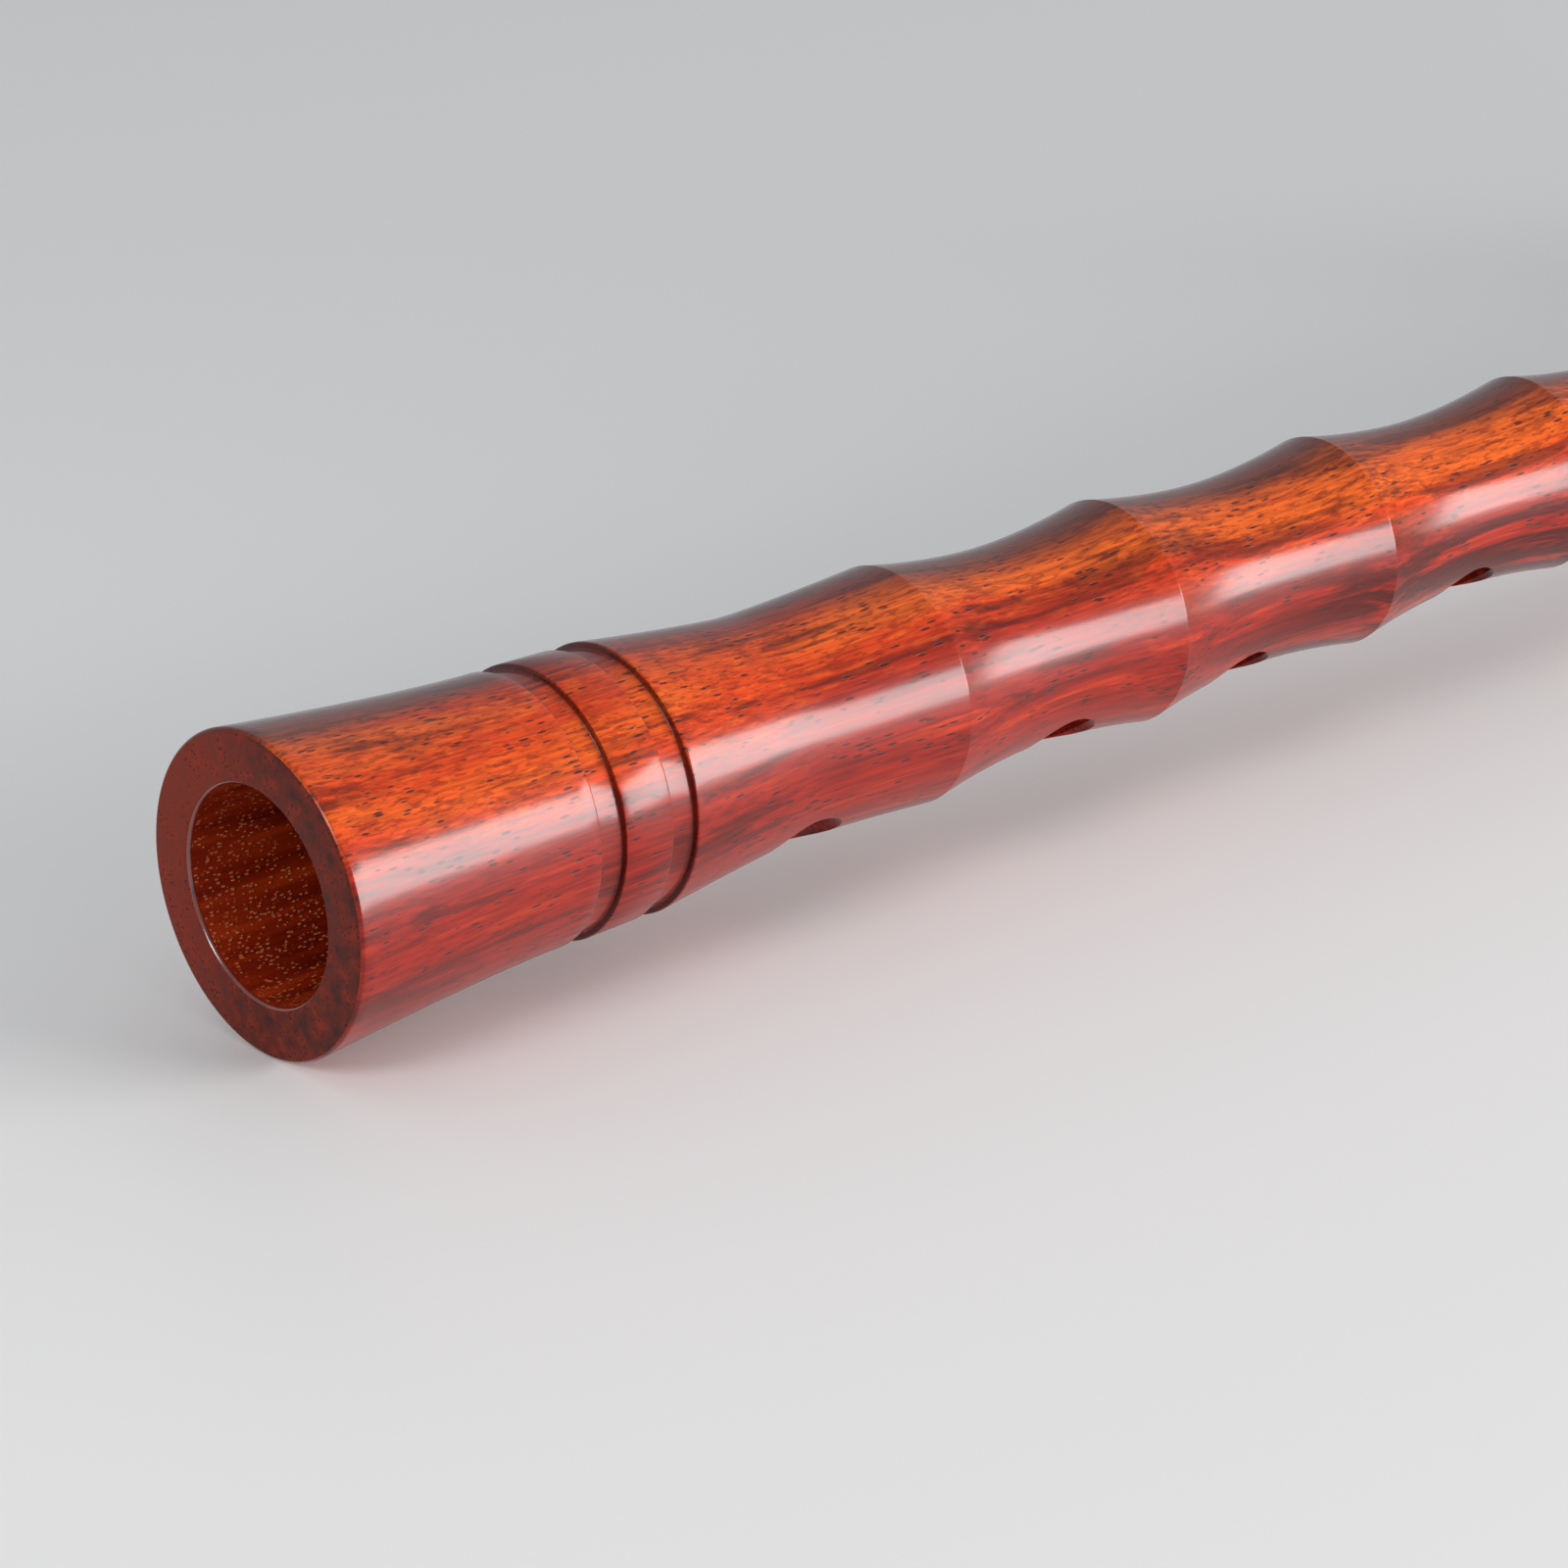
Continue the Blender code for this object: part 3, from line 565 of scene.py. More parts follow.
bell_brass = metal("bell_brass", bell_axis, BRASS, DULL_BRASS, roughness=0.2)
stem_brass = metal("stem_brass", stem_axis, BRASS, DULL_BRASS, roughness=0.2)
staple_brass = metal("staple_brass", stem_axis, STAPLE_BRASS, DULL_BRASS, roughness=0.28)
copper = metal("copper_wire", stem_axis, COPPER, DULL_COPPER, roughness=0.24)
thread = fibrous("waxed_thread", THREAD, THREAD_SHADE, across=5000.0, along=5000.0, roughness=0.75,
                 relief=THREAD_RELIEF)
cane = fibrous("cane", CANE, CANE_SHADE, across=3800.0, along=90.0, roughness=0.42, relief=CANE_RELIEF)
print("made", [made.name for made in (bell_brass, stem_brass, staple_brass, copper, thread, cane)])

# %% [markdown]
# Nearly every piece here was made on a lathe, and the same helpers serve them all. One spins a
# section round Z. Another moves the shape to its axis in the mesh, so that the object itself
# stays at the origin, hands the piece to its body, hides the plain solid and names the finish.
# Two small ones find a value between two others and the points of a round corner.

# %% Helpers for turned pieces
SHARP_ANGLE = math.radians(30)


def finished_piece(name, shape, material, lathe, body, node):
    """Move a shape onto its axis and let it stand for a node of the frame."""
    bmesh.ops.transform(shape, matrix=lathe, verts=shape.verts)
    bmesh.ops.recalc_face_normals(shape, faces=shape.faces)
    mesh = bpy.data.meshes.new(name)
    shape.to_mesh(mesh)
    shape.free()
    mesh.shade_smooth()
    mesh.set_sharp_from_angle(angle=SHARP_ANGLE)
    mesh.materials.append(material)
    piece = bpy.data.objects.new(name, mesh)
    bpy.context.scene.collection.objects.link(piece)
    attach(piece, body)
    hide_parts(node)
    print(name, "has", len(mesh.polygons), "faces")
    return piece


def turned(outline, sides):
    """Spin a closed section of (radius, height) points once round Z."""
    shape = bmesh.new()
    corners = [shape.verts.new((radius, 0.0, height)) for radius, height in outline]
    edges = [shape.edges.new(pair) for pair in zip(corners, corners[1:] + corners[:1])]
    bmesh.ops.spin(shape, geom=corners + edges, axis=(0, 0, 1), cent=(0, 0, 0),
                   angle=math.tau, steps=sides, use_merge=True)
    return shape


def mix(first, second, share):
    return first + (second - first) * share


def arc(centre_radius, centre_height, size, first_degrees, last_degrees, steps):
    """A round corner. 0 degrees points outwards and 90 degrees up the axis."""
    points = []
    for step in range(steps + 1):
        angle = math.radians(mix(first_degrees, last_degrees, step / steps))
        points.append((centre_radius + size * math.cos(angle), centre_height + size * math.sin(angle)))
    return points


print("turned pieces stay smooth up to", round(math.degrees(SHARP_ANGLE)), "degrees")

# %% [markdown]
# The stem's section runs up the outside, down the socket and the bore, and round the rim back to
# the foot. Each hollow is one formula with a depth and a power, and its steps crowd towards the
# ridges, which keeps those crisp.

# %% The stem's section
RIM_STEPS = 6
CORNER_STEPS = 4
FOOT_FLARE_STEPS = 24
FOOT_FLARE_STOP = 0.4 * MM          # short of the first groove
HOLLOW_STEPS = 28
FIRST_HOLLOW_INSET = 0.2 * MM
BORE_STEPS = 20
LIP_DROP = 0.3 * GROOVE_LIP
LIP_EDGE = 0.2 * GROOVE_LIP
CORNER_INSET = 1.7 * GROOVE_LIP


def hollow(start, start_radius, end, end_radius, depth, power):
    """The hollow between two heights, from just after its start to its end."""
    points = []
    for step in range(1, HOLLOW_STEPS + 1):
        share = (1 - math.cos(math.pi * step / HOLLOW_STEPS)) / 2
        dip = depth * (1 - abs(2 * share - 1) ** power)
        points.append((mix(start_radius, end_radius, share) - dip, mix(start, end, share)))
    return points


def groove(start, radius):
    """A turned groove with a small round on each lip and in each bottom corner."""
    end = start + GROOVE_WIDTH
    corner_radius = radius - GROOVE_DEPTH + GROOVE_LIP
    points = [(radius, start - GROOVE_LIP), (radius - LIP_DROP, start - LIP_EDGE)]
    points += arc(corner_radius, start + CORNER_INSET, GROOVE_LIP, 270, 180, CORNER_STEPS)
    points += arc(corner_radius, end - CORNER_INSET, GROOVE_LIP, 180, 90, CORNER_STEPS)
    points += [(radius - LIP_DROP, end + LIP_EDGE), (radius, end + GROOVE_LIP)]
    return points


outside = arc(FOOT_RADIUS - FOOT_RIM_ROUND, FOOT_RIM_ROUND, FOOT_RIM_ROUND, -90, 0, RIM_STEPS)
for step in range(1, FOOT_FLARE_STEPS):
    share = step / FOOT_FLARE_STEPS
    radius = WAIST_RADIUS + (FOOT_RADIUS - WAIST_RADIUS) * (1 - share) ** FOOT_FLARE_POWER
    outside.append((radius, mix(FOOT_RIM_ROUND, FOOT_LENGTH - FOOT_FLARE_STOP, share)))
outside += groove(first_groove, WAIST_RADIUS)
outside += groove(second_groove, UPPER_WAIST_RADIUS)
outside += hollow(hollows_start + FIRST_HOLLOW_INSET, UPPER_WAIST_RADIUS, first_ridge, FIRST_RIDGE_RADIUS,
                  FIRST_HOLLOW_DEPTH, FIRST_HOLLOW_POWER)
for number in range(RIDGE_COUNT - 1):
    outside += hollow(*ridge(number), *ridge(number + 1), HOLLOW_DEPTH, HOLLOW_POWER)
outside += hollow(*ridge(RIDGE_COUNT - 1), collar_start, COLLAR_RADIUS, HOLLOW_DEPTH, HOLLOW_POWER)
top = [
    (COLLAR_RADIUS, shoulder),
    (TENON_RADIUS, shoulder),
    (TENON_RADIUS, stem_length),
    (SOCKET_RADIUS, stem_length),
    (SOCKET_RADIUS, bore_top),
    (BORE_TOP_RADIUS, bore_top),
]
bore = []
for step in range(1, BORE_STEPS):
    share = step / BORE_STEPS
    bore.append((mix(BORE_TOP_RADIUS, BORE_FOOT_RADIUS, share), mix(bore_top, BORE_RIM_ROUND, share)))
inner_rim = arc(BORE_FOOT_RADIUS + BORE_RIM_ROUND, BORE_RIM_ROUND, BORE_RIM_ROUND, 180, 270, RIM_STEPS)
stem_outline = outside + top + bore + inner_rim
print("the stem's section has", len(stem_outline), "points")

# %% [markdown]
# The finger holes are drilled, then eased at the edge so that a fingertip seals them. One drill
# with a flared shoulder does both in a single Boolean cut. Each drill is a circle extruded along
# its own axis and widened at the end. A face is extruded together with its edges: without them
# it would stay behind as a wall inside the drill, and a Boolean needs closed shapes to give the
# same cut each time. The cut is applied, so that only the mesh stays.

# %% Turn and drill the stem
STEM_SIDES = 144
DRILL_SIDES = 40
FINGER_HOLE_RADIUS = 3.5 * MM
FINGER_HOLE_SHIFTS = (0.7 * MM, 2.1 * MM, -2.6 * MM, 0.1 * MM)      # along the stem, for the lowest
FINGER_HOLE_TURN = math.radians(34)
HOLE_SURFACE_DIP = 1.3 * MM
THUMB_RIDGE = 5
THUMB_HOLE_SHIFT = -6.6 * MM
THUMB_SURFACE_DIP = 1.1 * MM
DRILL_START = 1.0 * MM              # from the stem's axis
EASING_DEPTH = 0.6 * MM
EASING_RISE = 0.9 * MM
EASING_WIDENING = 1.16
CLEARING_RISE = 4.0 * MM
CLEARING_WIDENING = 1.5


def add_drill(shape, along, surface_radius, turn_angle):
    """A drill from just off the axis out through the wall, widening where it meets the air."""
    ring = bmesh.ops.create_circle(shape, cap_ends=True, segments=DRILL_SIDES, radius=FINGER_HOLE_RADIUS)
    made = set(ring["verts"])
    face = ring["verts"][0].link_faces[0]
    stages = (
        (surface_radius - DRILL_START - EASING_DEPTH, 1.0),
        (EASING_RISE, EASING_WIDENING),
        (CLEARING_RISE, CLEARING_WIDENING),
    )
    for rise, widening in stages:
        grown = bmesh.ops.extrude_face_region(shape, geom=[face, *face.edges])["geom"]
        fresh = [item for item in grown if isinstance(item, bmesh.types.BMVert)]
        face = [item for item in grown if isinstance(item, bmesh.types.BMFace)][0]
        bmesh.ops.translate(shape, verts=fresh, vec=(0.0, 0.0, rise))
        bmesh.ops.scale(shape, verts=fresh, vec=(widening, widening, 1.0))
        made.update(fresh)
    outwards = Vector((math.cos(turn_angle), math.sin(turn_angle), 0.0))
    start = outwards * DRILL_START
    start.z = along
    placed = Matrix.Translation(start) @ outwards.to_track_quat("Z", "Y").to_matrix().to_4x4()
    bmesh.ops.transform(shape, matrix=placed, verts=list(made))


drills = bmesh.new()
for number in range(RIDGE_COUNT):
    ridge_place, ridge_radius = ridge(number)
    middle = ridge_place - RIDGE_PITCH / 2
    if number == 0:
        middle = (hollows_start + first_ridge) / 2
    if number < len(FINGER_HOLE_SHIFTS):
        middle += FINGER_HOLE_SHIFTS[number]
    surface = ridge_radius + RIDGE_STEP_DOWN / 2 - HOLE_SURFACE_DIP
    add_drill(drills, middle, surface, -FINGER_HOLE_TURN)
ridge_place, ridge_radius = ridge(THUMB_RIDGE)
add_drill(drills, ridge_place + THUMB_HOLE_SHIFT, ridge_radius - THUMB_SURFACE_DIP,
          math.pi - FINGER_HOLE_TURN)
bmesh.ops.transform(drills, matrix=stem_lathe, verts=drills.verts)
bmesh.ops.recalc_face_normals(drills, faces=drills.faces)
drill_mesh = bpy.data.meshes.new("drills")
drills.to_mesh(drill_mesh)
drills.free()
drill = bpy.data.objects.new("drills", drill_mesh)
bpy.context.scene.collection.objects.link(drill)

stem = finished_piece("rosewood_stem", turned(stem_outline, STEM_SIDES), rosewood_finish,
                      stem_lathe, "stem", "wooden_stem")
cut = stem.modifiers.new("holes", "BOOLEAN")
cut.operation = "DIFFERENCE"
cut.solver = "EXACT"
cut.object = drill
bpy.context.view_layer.update()
drilled = bpy.data.meshes.new_from_object(stem.evaluated_get(bpy.context.evaluated_depsgraph_get()))
stem.modifiers.clear()
stem.data = drilled
bpy.data.objects.remove(drill)
print("stem has", len(drilled.polygons), "faces after drilling")

# %% [markdown]
# The cut leaves one mesh with one finish, so its faces are sorted by where they lie. A face that
# looks down the axis at the very foot is end grain. One close to the bore that looks inwards
# belongs to it, or to its rim if it is lower than the rim's round. The rest keep the rosewood.

# %% The stem's four finishes
STRAIGHT_DOWN = -0.9
INWARDS = -0.3
BORE_MARGIN = 0.6 * MM
ROSEWOOD, END_GRAIN, BORE, RIM = range(4)

drilled.materials.clear()
for finish_material in (rosewood_finish, end_grain_finish, bore_finish, rim_finish):
    drilled.materials.append(finish_material)
to_lathe = stem_lathe.inverted()
for polygon in drilled.polygons:
    middle = to_lathe @ polygon.center
    normal = to_lathe.to_3x3() @ polygon.normal
    radius = math.hypot(middle.x, middle.y)
    outward = normal.x * middle.x + normal.y * middle.y
    bore_radius = mix(BORE_FOOT_RADIUS, BORE_TOP_RADIUS, middle.z / bore_top)
    polygon.material_index = ROSEWOOD
    if middle.z < FOOT_RIM_ROUND and normal.z < STRAIGHT_DOWN:
        polygon.material_index = END_GRAIN
    elif outward < INWARDS * radius and radius < bore_radius + BORE_MARGIN:
        polygon.material_index = BORE if middle.z > BORE_RIM_ROUND else RIM
drilled.shade_smooth()
drilled.set_sharp_from_angle(angle=SHARP_ANGLE)
print("stem has", len(drilled.materials), "finishes")

# %% [markdown]
# The ferrule caps the stem's tenon, and the staple stands in its socket with the lower bead, the
# lip disc and the upper bead strung on it. Each starts a small gap above the one below, as the
# plain solids do, so the places are found in that order.

# %% Sizes along the staple
GAP = 0.3 * MM
FIT = 0.15 * MM
FERRULE_WALL_OUT = 0.2 * MM         # how far the ferrule stands out from the collar
FERRULE_LIP = 0.7 * MM
LOWER_BEAD_LENGTH = 11.0 * MM
LOWER_BEAD_RADIUS = 7.5 * MM
UPPER_BEAD_LENGTH = 7.0 * MM
UPPER_BEAD_RADIUS = 4.6 * MM
BEAD_WALL = 0.5 * MM
BEAD_COLLAR = 1.0 * MM
DISC_RADIUS = 21.0 * MM
DISC_THICKNESS = 0.9 * MM
DISC_HUB = 5.5 * MM
DISC_DISH = 2.0 * MM
STAPLE_RADIUS = 3.0 * MM
STAPLE_TIP_RADIUS = 1.9 * MM
STAPLE_WALL = 0.4 * MM
STAPLE_EDGE = 0.1 * MM
STAPLE_IN_SOCKET = 28.0 * MM
STAPLE_TIP_LENGTH = 11.0 * MM

ferrule_radius = COLLAR_RADIUS + FERRULE_WALL_OUT
ferrule_start = shoulder + GAP
ferrule_lip = stem_length + GAP
ferrule_top = ferrule_lip + FERRULE_LIP
lower_bead_start = ferrule_top + GAP
disc_start = lower_bead_start + LOWER_BEAD_LENGTH + GAP
upper_bead_start = disc_start + DISC_THICKNESS + GAP
taper_end = upper_bead_start + UPPER_BEAD_LENGTH
staple_start = stem_length - STAPLE_IN_SOCKET
staple_end = taper_end + STAPLE_TIP_LENGTH


def staple_radius(along):
    """The staple is straight in the socket, tapers through the beads and ends straight."""
    share = (along - lower_bead_start) / (taper_end - lower_bead_start)
    return mix(STAPLE_RADIUS, STAPLE_TIP_RADIUS, min(max(share, 0.0), 1.0))


print("staple is", round((staple_end - staple_start) / MM, 1), "mm long")

# %% [markdown]
# The ferrule, the beads and the disc are thin brass. Each gets the section of a real pressing:
# an outside, an inside one wall away, and rounded edges, because it is the round edge that
# catches the light on a small brass part. The ferrule has two fine engraved lines, and the
# staple is a plain drawn tube.

# %% Ferrule, staple, beads and lip disc
FERRULE_SIDES = 96
FERRULE_EDGE = 0.12 * MM
FERRULE_ROUND = 0.25 * MM
FERRULE_ROUND_STEPS = 6
ENGRAVED_LINES = (2.2 * MM, 11.0 * MM)      # up from the shoulder
LINE_DEPTH = 0.12 * MM
LINE_WIDTH = 0.8 * MM
LINE_STEPS = 8
STAPLE_SIDES = 64
LOWER_BEAD_SIDES = 96
UPPER_BEAD_SIDES = 80
BEAD_STEPS = 18
DISC_SIDES = 160
DISC_STEPS = 14
DISC_EDGE_STEPS = 8

ferrule = [(ferrule_radius - FERRULE_EDGE, ferrule_start), (ferrule_radius, ferrule_start + FERRULE_EDGE)]
for line_place in ENGRAVED_LINES:
    for step in range(LINE_STEPS + 1):
        share = step / LINE_STEPS
        ferrule.append((ferrule_radius - LINE_DEPTH * math.sin(math.pi * share),
                        shoulder + line_place + LINE_WIDTH * share))
ferrule += arc(ferrule_radius - FERRULE_ROUND, ferrule_top - FERRULE_ROUND, FERRULE_ROUND, 0, 90,
               FERRULE_ROUND_STEPS)
ferrule += [
    (SOCKET_RADIUS + FIT, ferrule_top),
    (SOCKET_RADIUS + FIT, ferrule_lip),
    (TENON_RADIUS + FIT, ferrule_lip),
    (TENON_RADIUS + FIT, ferrule_start),
]
finished_piece("ferrule", turned(ferrule, FERRULE_SIDES), stem_brass, stem_lathe, "stem",
               "stem_ferrule")

staple_bends = (staple_start, lower_bead_start, taper_end, staple_end - STAPLE_EDGE)
staple_outside = [(staple_radius(place), place) for place in staple_bends]
staple_inside = [(radius - STAPLE_WALL, place) for radius, place in reversed(staple_outside)]
staple_tip = [(STAPLE_TIP_RADIUS - STAPLE_EDGE, staple_end)]
finished_piece("staple", turned(staple_outside + staple_tip + staple_inside, STAPLE_SIDES), staple_brass,
               stem_lathe, "staple", "staple_tube")


def bead_section(start, length, radius):
    """A hollow bead with flat ends round the staple."""
    low_hole = staple_radius(start) + FIT
    high_hole = staple_radius(start + length) + FIT
    outer = []
    inner = []
    for step in range(BEAD_STEPS + 1):
        share = step / BEAD_STEPS
        collar = mix(low_hole, high_hole, share) + BEAD_COLLAR
        swell = math.sin(math.pi * share)
        climb = (1 - math.cos(math.pi * share)) / 2
        outer.append((mix(collar, radius, swell), start + length * climb))
        inner_climb = mix(BEAD_WALL, length - BEAD_WALL, climb)
        inner.append((mix(collar, radius - BEAD_WALL, swell), start + inner_climb))
    high_end = [(high_hole, start + length), (high_hole, start + length - BEAD_WALL)]
    low_end = [(low_hole, start + BEAD_WALL), (low_hole, start)]
    return outer + high_end + inner[::-1] + low_end


lower_bead = bead_section(lower_bead_start, LOWER_BEAD_LENGTH, LOWER_BEAD_RADIUS)
upper_bead = bead_section(upper_bead_start, UPPER_BEAD_LENGTH, UPPER_BEAD_RADIUS)
finished_piece("bead_below_disc", turned(lower_bead, LOWER_BEAD_SIDES), stem_brass, stem_lathe,
               "staple", "lower_bead")
finished_piece("bead_above_disc", turned(upper_bead, UPPER_BEAD_SIDES), stem_brass, stem_lathe,
               "staple", "upper_bead")

edge_round = DISC_THICKNESS / 2
disc_low = [(staple_radius(disc_start) + FIT, disc_start), (DISC_HUB, disc_start)]
for step in range(1, DISC_STEPS):
    share = step / DISC_STEPS
    disc_low.append((mix(DISC_HUB, DISC_RADIUS - edge_round, share), disc_start + DISC_DISH * share ** 2))
disc_edge = arc(DISC_RADIUS - edge_round, disc_start + DISC_DISH + edge_round, edge_round, -90, 90,
                DISC_EDGE_STEPS)
disc_high = [(radius, height + DISC_THICKNESS) for radius, height in reversed(disc_low)]
finished_piece("disc", turned(disc_low + disc_edge + disc_high, DISC_SIDES), stem_brass, stem_lathe,
               "lip_disc", "lip_disc")

# %% [markdown]
# Thread and wire are wound, so they are coils and not rings. Spinning a small circle while it
# climbs by a little more than its thickness each turn gives one unbroken strand, and its two
# ends are capped.

# %% Thread lappings and the reed's wire
STRAND_SIDES = 8
STEPS_PER_TURN = 24
TURN_SPACING = 1.04                 # strand thicknesses from one turn to the next, at least
SEAT_STRAND = 0.85 * MM
SEAT_THREAD_START = 3.0 * MM        # up from the staple's lower end
SEAT_THREAD_LENGTH = 23.0 * MM
TIP_STRAND = 0.28 * MM
TIP_THREAD_SPACE = 0.3 * MM
TIP_THREAD_LENGTH = 8.0 * MM
REED_WALL = 0.45 * MM
WIRE_STRAND = 0.55 * MM
WIRE_FIT = 0.05 * MM
WIRE_START = 1.5 * MM               # up from the reed's root
WIRE_LENGTH = 4.4 * MM

reed_start = taper_end + 2 * GAP
reed_root = STAPLE_TIP_RADIUS + FIT + TIP_THREAD_SPACE + FIT + REED_WALL


def coil(inner_radius, strand, start, length):
    """One strand wound round Z, each turn lying beside the last."""
    shape = bmesh.new()
    turns = int((length - strand) / (strand * TURN_SPACING))
    steps = turns * STEPS_PER_TURN
    placed = Matrix.Translation((inner_radius + strand / 2, 0.0, start + strand / 2))
    upright = placed @ Matrix.Rotation(math.pi / 2, 4, "X")
    ring = bmesh.ops.create_circle(shape, segments=STRAND_SIDES, radius=strand / 2, matrix=upright)["verts"]
    edges = list({edge for vert in ring for edge in vert.link_edges})
    climb = (length - strand) / steps
    bmesh.ops.spin(shape, geom=ring + edges, axis=(0, 0, 1), cent=(0, 0, 0), dvec=(0, 0, climb),
                   angle=math.tau * turns, steps=steps)
    bmesh.ops.holes_fill(shape, edges=[edge for edge in shape.edges if edge.is_boundary])
    return shape


seat_thread = coil(STAPLE_RADIUS + FIT, SEAT_STRAND, staple_start + SEAT_THREAD_START, SEAT_THREAD_LENGTH)
finished_piece("seat_thread", seat_thread, thread, stem_lathe, "staple",
               "staple_lapping")
tip_thread = coil(STAPLE_TIP_RADIUS + FIT, TIP_STRAND, taper_end + GAP, TIP_THREAD_LENGTH)
finished_piece("tip_thread", tip_thread, thread, stem_lathe, "staple", "tip_lapping")
root_wire = coil(reed_root + WIRE_FIT, WIRE_STRAND, reed_start + WIRE_START, WIRE_LENGTH)
finished_piece("root_wire", root_wire, copper, stem_lathe, "reed", "reed_wire")

# %% [markdown]
# The reed is one tube of cane pressed flat. Rings of points go from round at the root to a thin
# lens at the tip, outside and then back down inside, and bridging them in order makes the wall.

# %% Reed
REED_LENGTH = 22.5 * MM
ROOT_LENGTH = 10.0 * MM
REED_HALF_WIDTH = 4.6 * MM
REED_HALF_THICKNESS = 0.95 * MM
REED_TIP_WALL = 0.3 * MM
REED_STEPS = 20
REED_SIDES = 64
reed_turn = math.pi / 2 - FINGER_HOLE_TURN

reed_sections = [(reed_root, reed_root, REED_WALL, reed_start)]
for step in range(REED_STEPS + 1):
    share = step / REED_STEPS
    eased = share * share * (3 - 2 * share)
    height = reed_start + ROOT_LENGTH + (REED_LENGTH - ROOT_LENGTH) * share
    wide = mix(reed_root, REED_HALF_WIDTH, eased)
    thick = mix(reed_root, REED_HALF_THICKNESS, eased)
    reed_sections.append((wide, thick, mix(REED_WALL, REED_TIP_WALL, share), height))
loops = [(wide, thick, height) for wide, thick, wall, height in reed_sections]
loops += [(wide - wall, thick - wall, height) for wide, thick, wall, height in reversed(reed_sections)]

reed_shape = bmesh.new()
ring_edges = []
for wide, thick, height in loops:
    ring = bmesh.ops.create_circle(reed_shape, segments=REED_SIDES, radius=1.0)["verts"]
    bmesh.ops.scale(reed_shape, verts=ring, vec=(wide, thick, 1.0))
    bmesh.ops.rotate(reed_shape, verts=ring, matrix=Matrix.Rotation(reed_turn, 3, "Z"))
    bmesh.ops.translate(reed_shape, verts=ring, vec=(0.0, 0.0, height))
    ring_edges.append(list({edge for vert in ring for edge in vert.link_edges}))
for low_ring, high_ring in zip(ring_edges, ring_edges[1:] + ring_edges[:1]):
    bmesh.ops.bridge_loops(reed_shape, edges=low_ring + high_ring)
finished_piece("reed", reed_shape, cane, stem_lathe, "reed", "reed_cane")

# %% [markdown]
# The bell is spun from sheet in two parts that meet under a soldered band, and its mouth is
# rolled over a wire. The flare is a power curve, slow at the seam and quick at the mouth, and the
# neck is a straight tube that fits the stem's waist. The sheet keeps one thickness throughout.

# %% Bell
BELL_SIDES = 200
SHEET = 0.6 * MM
SHEET_EDGE = 0.1 * MM
RIM_WIRE = 1.7 * MM
RIM_FACETS = 10                     # sides of the plain solid's roll, which rests on one of them
RIM_ROLL_STEPS = 26
MOUTH_RADIUS = 58.4 * MM
SEAM_RADIUS = 21.0 * MM
FLARE_HEIGHT = 76.0 * MM
FLARE_POWER = 2.8
FLARE_STEPS = 60
FLARE_CROWDING = 1.5
CONE_HEIGHT = 27.0 * MM
CONE_POWER = 1.25
CONE_STEPS = 24
NECK_CLEARANCE = 0.35 * MM
NECK_BEYOND_GROOVES = 7.1 * MM

rim_height = RIM_WIRE * math.cos(math.pi / RIM_FACETS)
flare_start = rim_height + RIM_WIRE + GAP
seam_height = flare_start + FLARE_HEIGHT
cone_start = seam_height + GAP
neck_start = cone_start + CONE_HEIGHT
neck_radius = WAIST_RADIUS + NECK_CLEARANCE + SHEET
bell_height = neck_start + 2 * GROOVE_WIDTH + BAND_LENGTH + NECK_BEYOND_GROOVES


def flare_radius(height):
    share = (seam_height - height) / FLARE_HEIGHT
    return SEAM_RADIUS + (MOUTH_RADIUS - SHEET / 2 - SEAM_RADIUS) * max(share, 0.0) ** FLARE_POWER


def cone_radius(height):
    share = (neck_start - height) / CONE_HEIGHT
    return neck_radius + (SEAM_RADIUS - neck_radius) * max(share, 0.0) ** CONE_POWER


def sheet_section(heights, radius_at):
    """An outside at the given heights, and an inside one sheet away."""
    outer = [(radius_at(height), height) for height in heights]
    return outer + [(radius - SHEET, height) for radius, height in reversed(outer)]


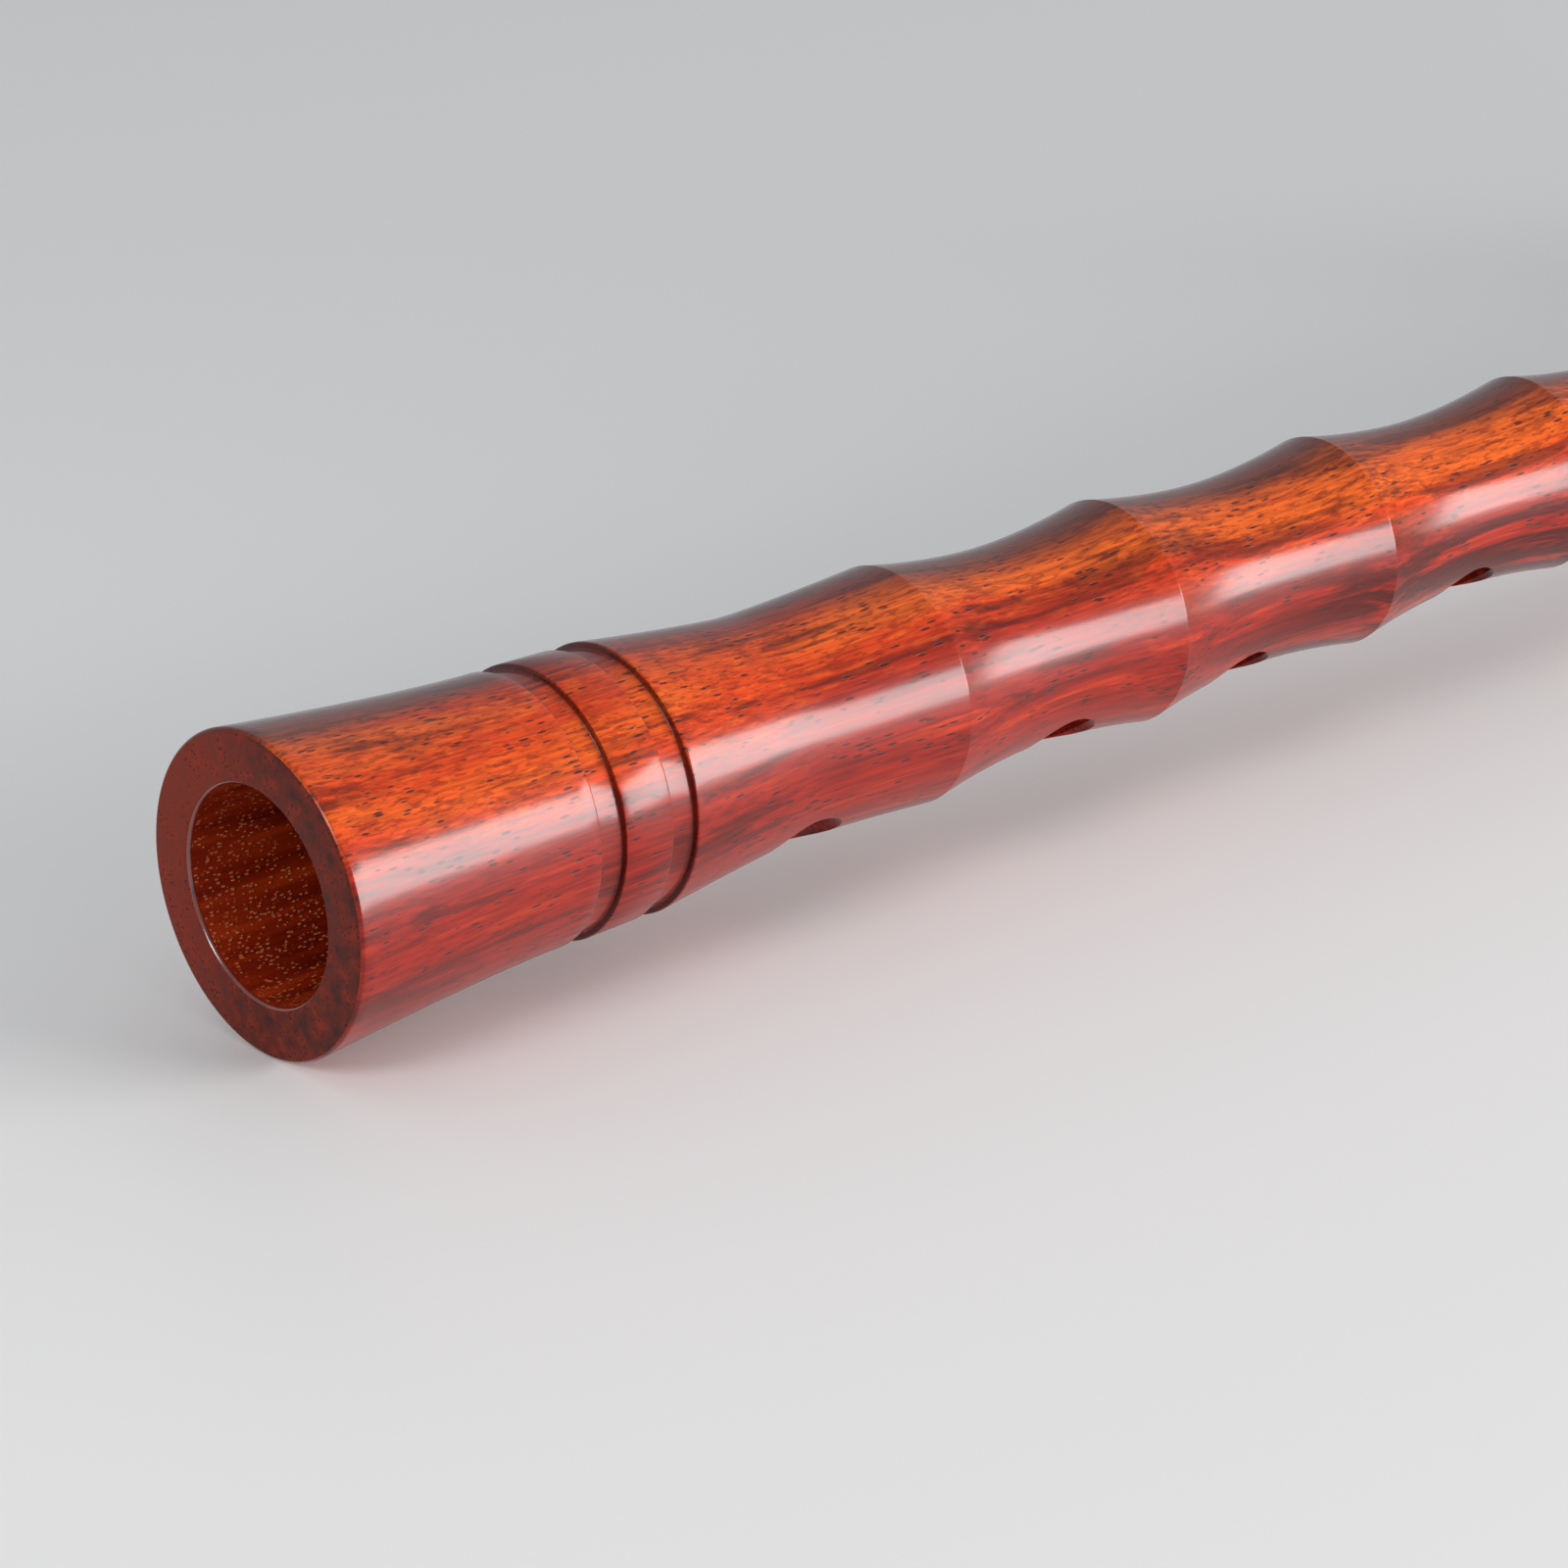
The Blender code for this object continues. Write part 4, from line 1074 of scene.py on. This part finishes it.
flare_heights = [flare_start + FLARE_HEIGHT * (step / FLARE_STEPS) ** FLARE_CROWDING
                 for step in range(FLARE_STEPS + 1)]
finished_piece("flare", turned(sheet_section(flare_heights, flare_radius), BELL_SIDES), bell_brass,
               bell_lathe, "bell", "bell_flare")
cone_heights = [mix(cone_start, neck_start, step / CONE_STEPS) for step in range(CONE_STEPS + 1)]
cone_heights += [bell_height - SHEET_EDGE, bell_height]
finished_piece("cone", turned(sheet_section(cone_heights, cone_radius), BELL_SIDES), bell_brass,
               bell_lathe, "bell", "bell_cone")
rim_low_angle = math.degrees(math.asin(-rim_height / RIM_WIRE))
rim = arc(MOUTH_RADIUS, rim_height, RIM_WIRE, rim_low_angle, 180 - rim_low_angle, RIM_ROLL_STEPS)
finished_piece("rolled_rim", turned(rim, BELL_SIDES), bell_brass, bell_lathe, "bell",
               "bell_rim_roll")

# %% [markdown]
# Two soldered rings finish the bell. Each is a round bead that runs on past its highest point
# until it meets the sheet. The seam band has further to go, because the cone falls away from it.

# %% The bell's rings
RING_OUT = 2.0 * MM
RING_HALF_HEIGHT = 2.25 * MM
RING_STEPS = 22
RING_FOOT = 0.1 * MM
FIRST_DEGREES = -80
BAND_LAST_DEGREES = 115
NECK_LAST_DEGREES = 95


def ring_section(inner, middle_height, last_degrees):
    points = []
    for step in range(RING_STEPS + 1):
        angle = math.radians(mix(FIRST_DEGREES, last_degrees, step / RING_STEPS))
        radius = inner + RING_OUT * math.cos(angle)
        points.append((radius, middle_height + RING_HALF_HEIGHT * math.sin(angle)))
    return points + [(inner - RING_FOOT, middle_height)]


seam_band = ring_section(SEAM_RADIUS + FIT, seam_height, BAND_LAST_DEGREES)
neck_ring = ring_section(neck_radius + FIT, bell_height - RING_HALF_HEIGHT, NECK_LAST_DEGREES)
finished_piece("seam_band", turned(seam_band, BELL_SIDES), bell_brass, bell_lathe, "bell",
               "bell_seam_band")
finished_piece("neck_ring", turned(neck_ring, BELL_SIDES), bell_brass, bell_lathe, "bell",
               "bell_neck_ring")

# %% [markdown]
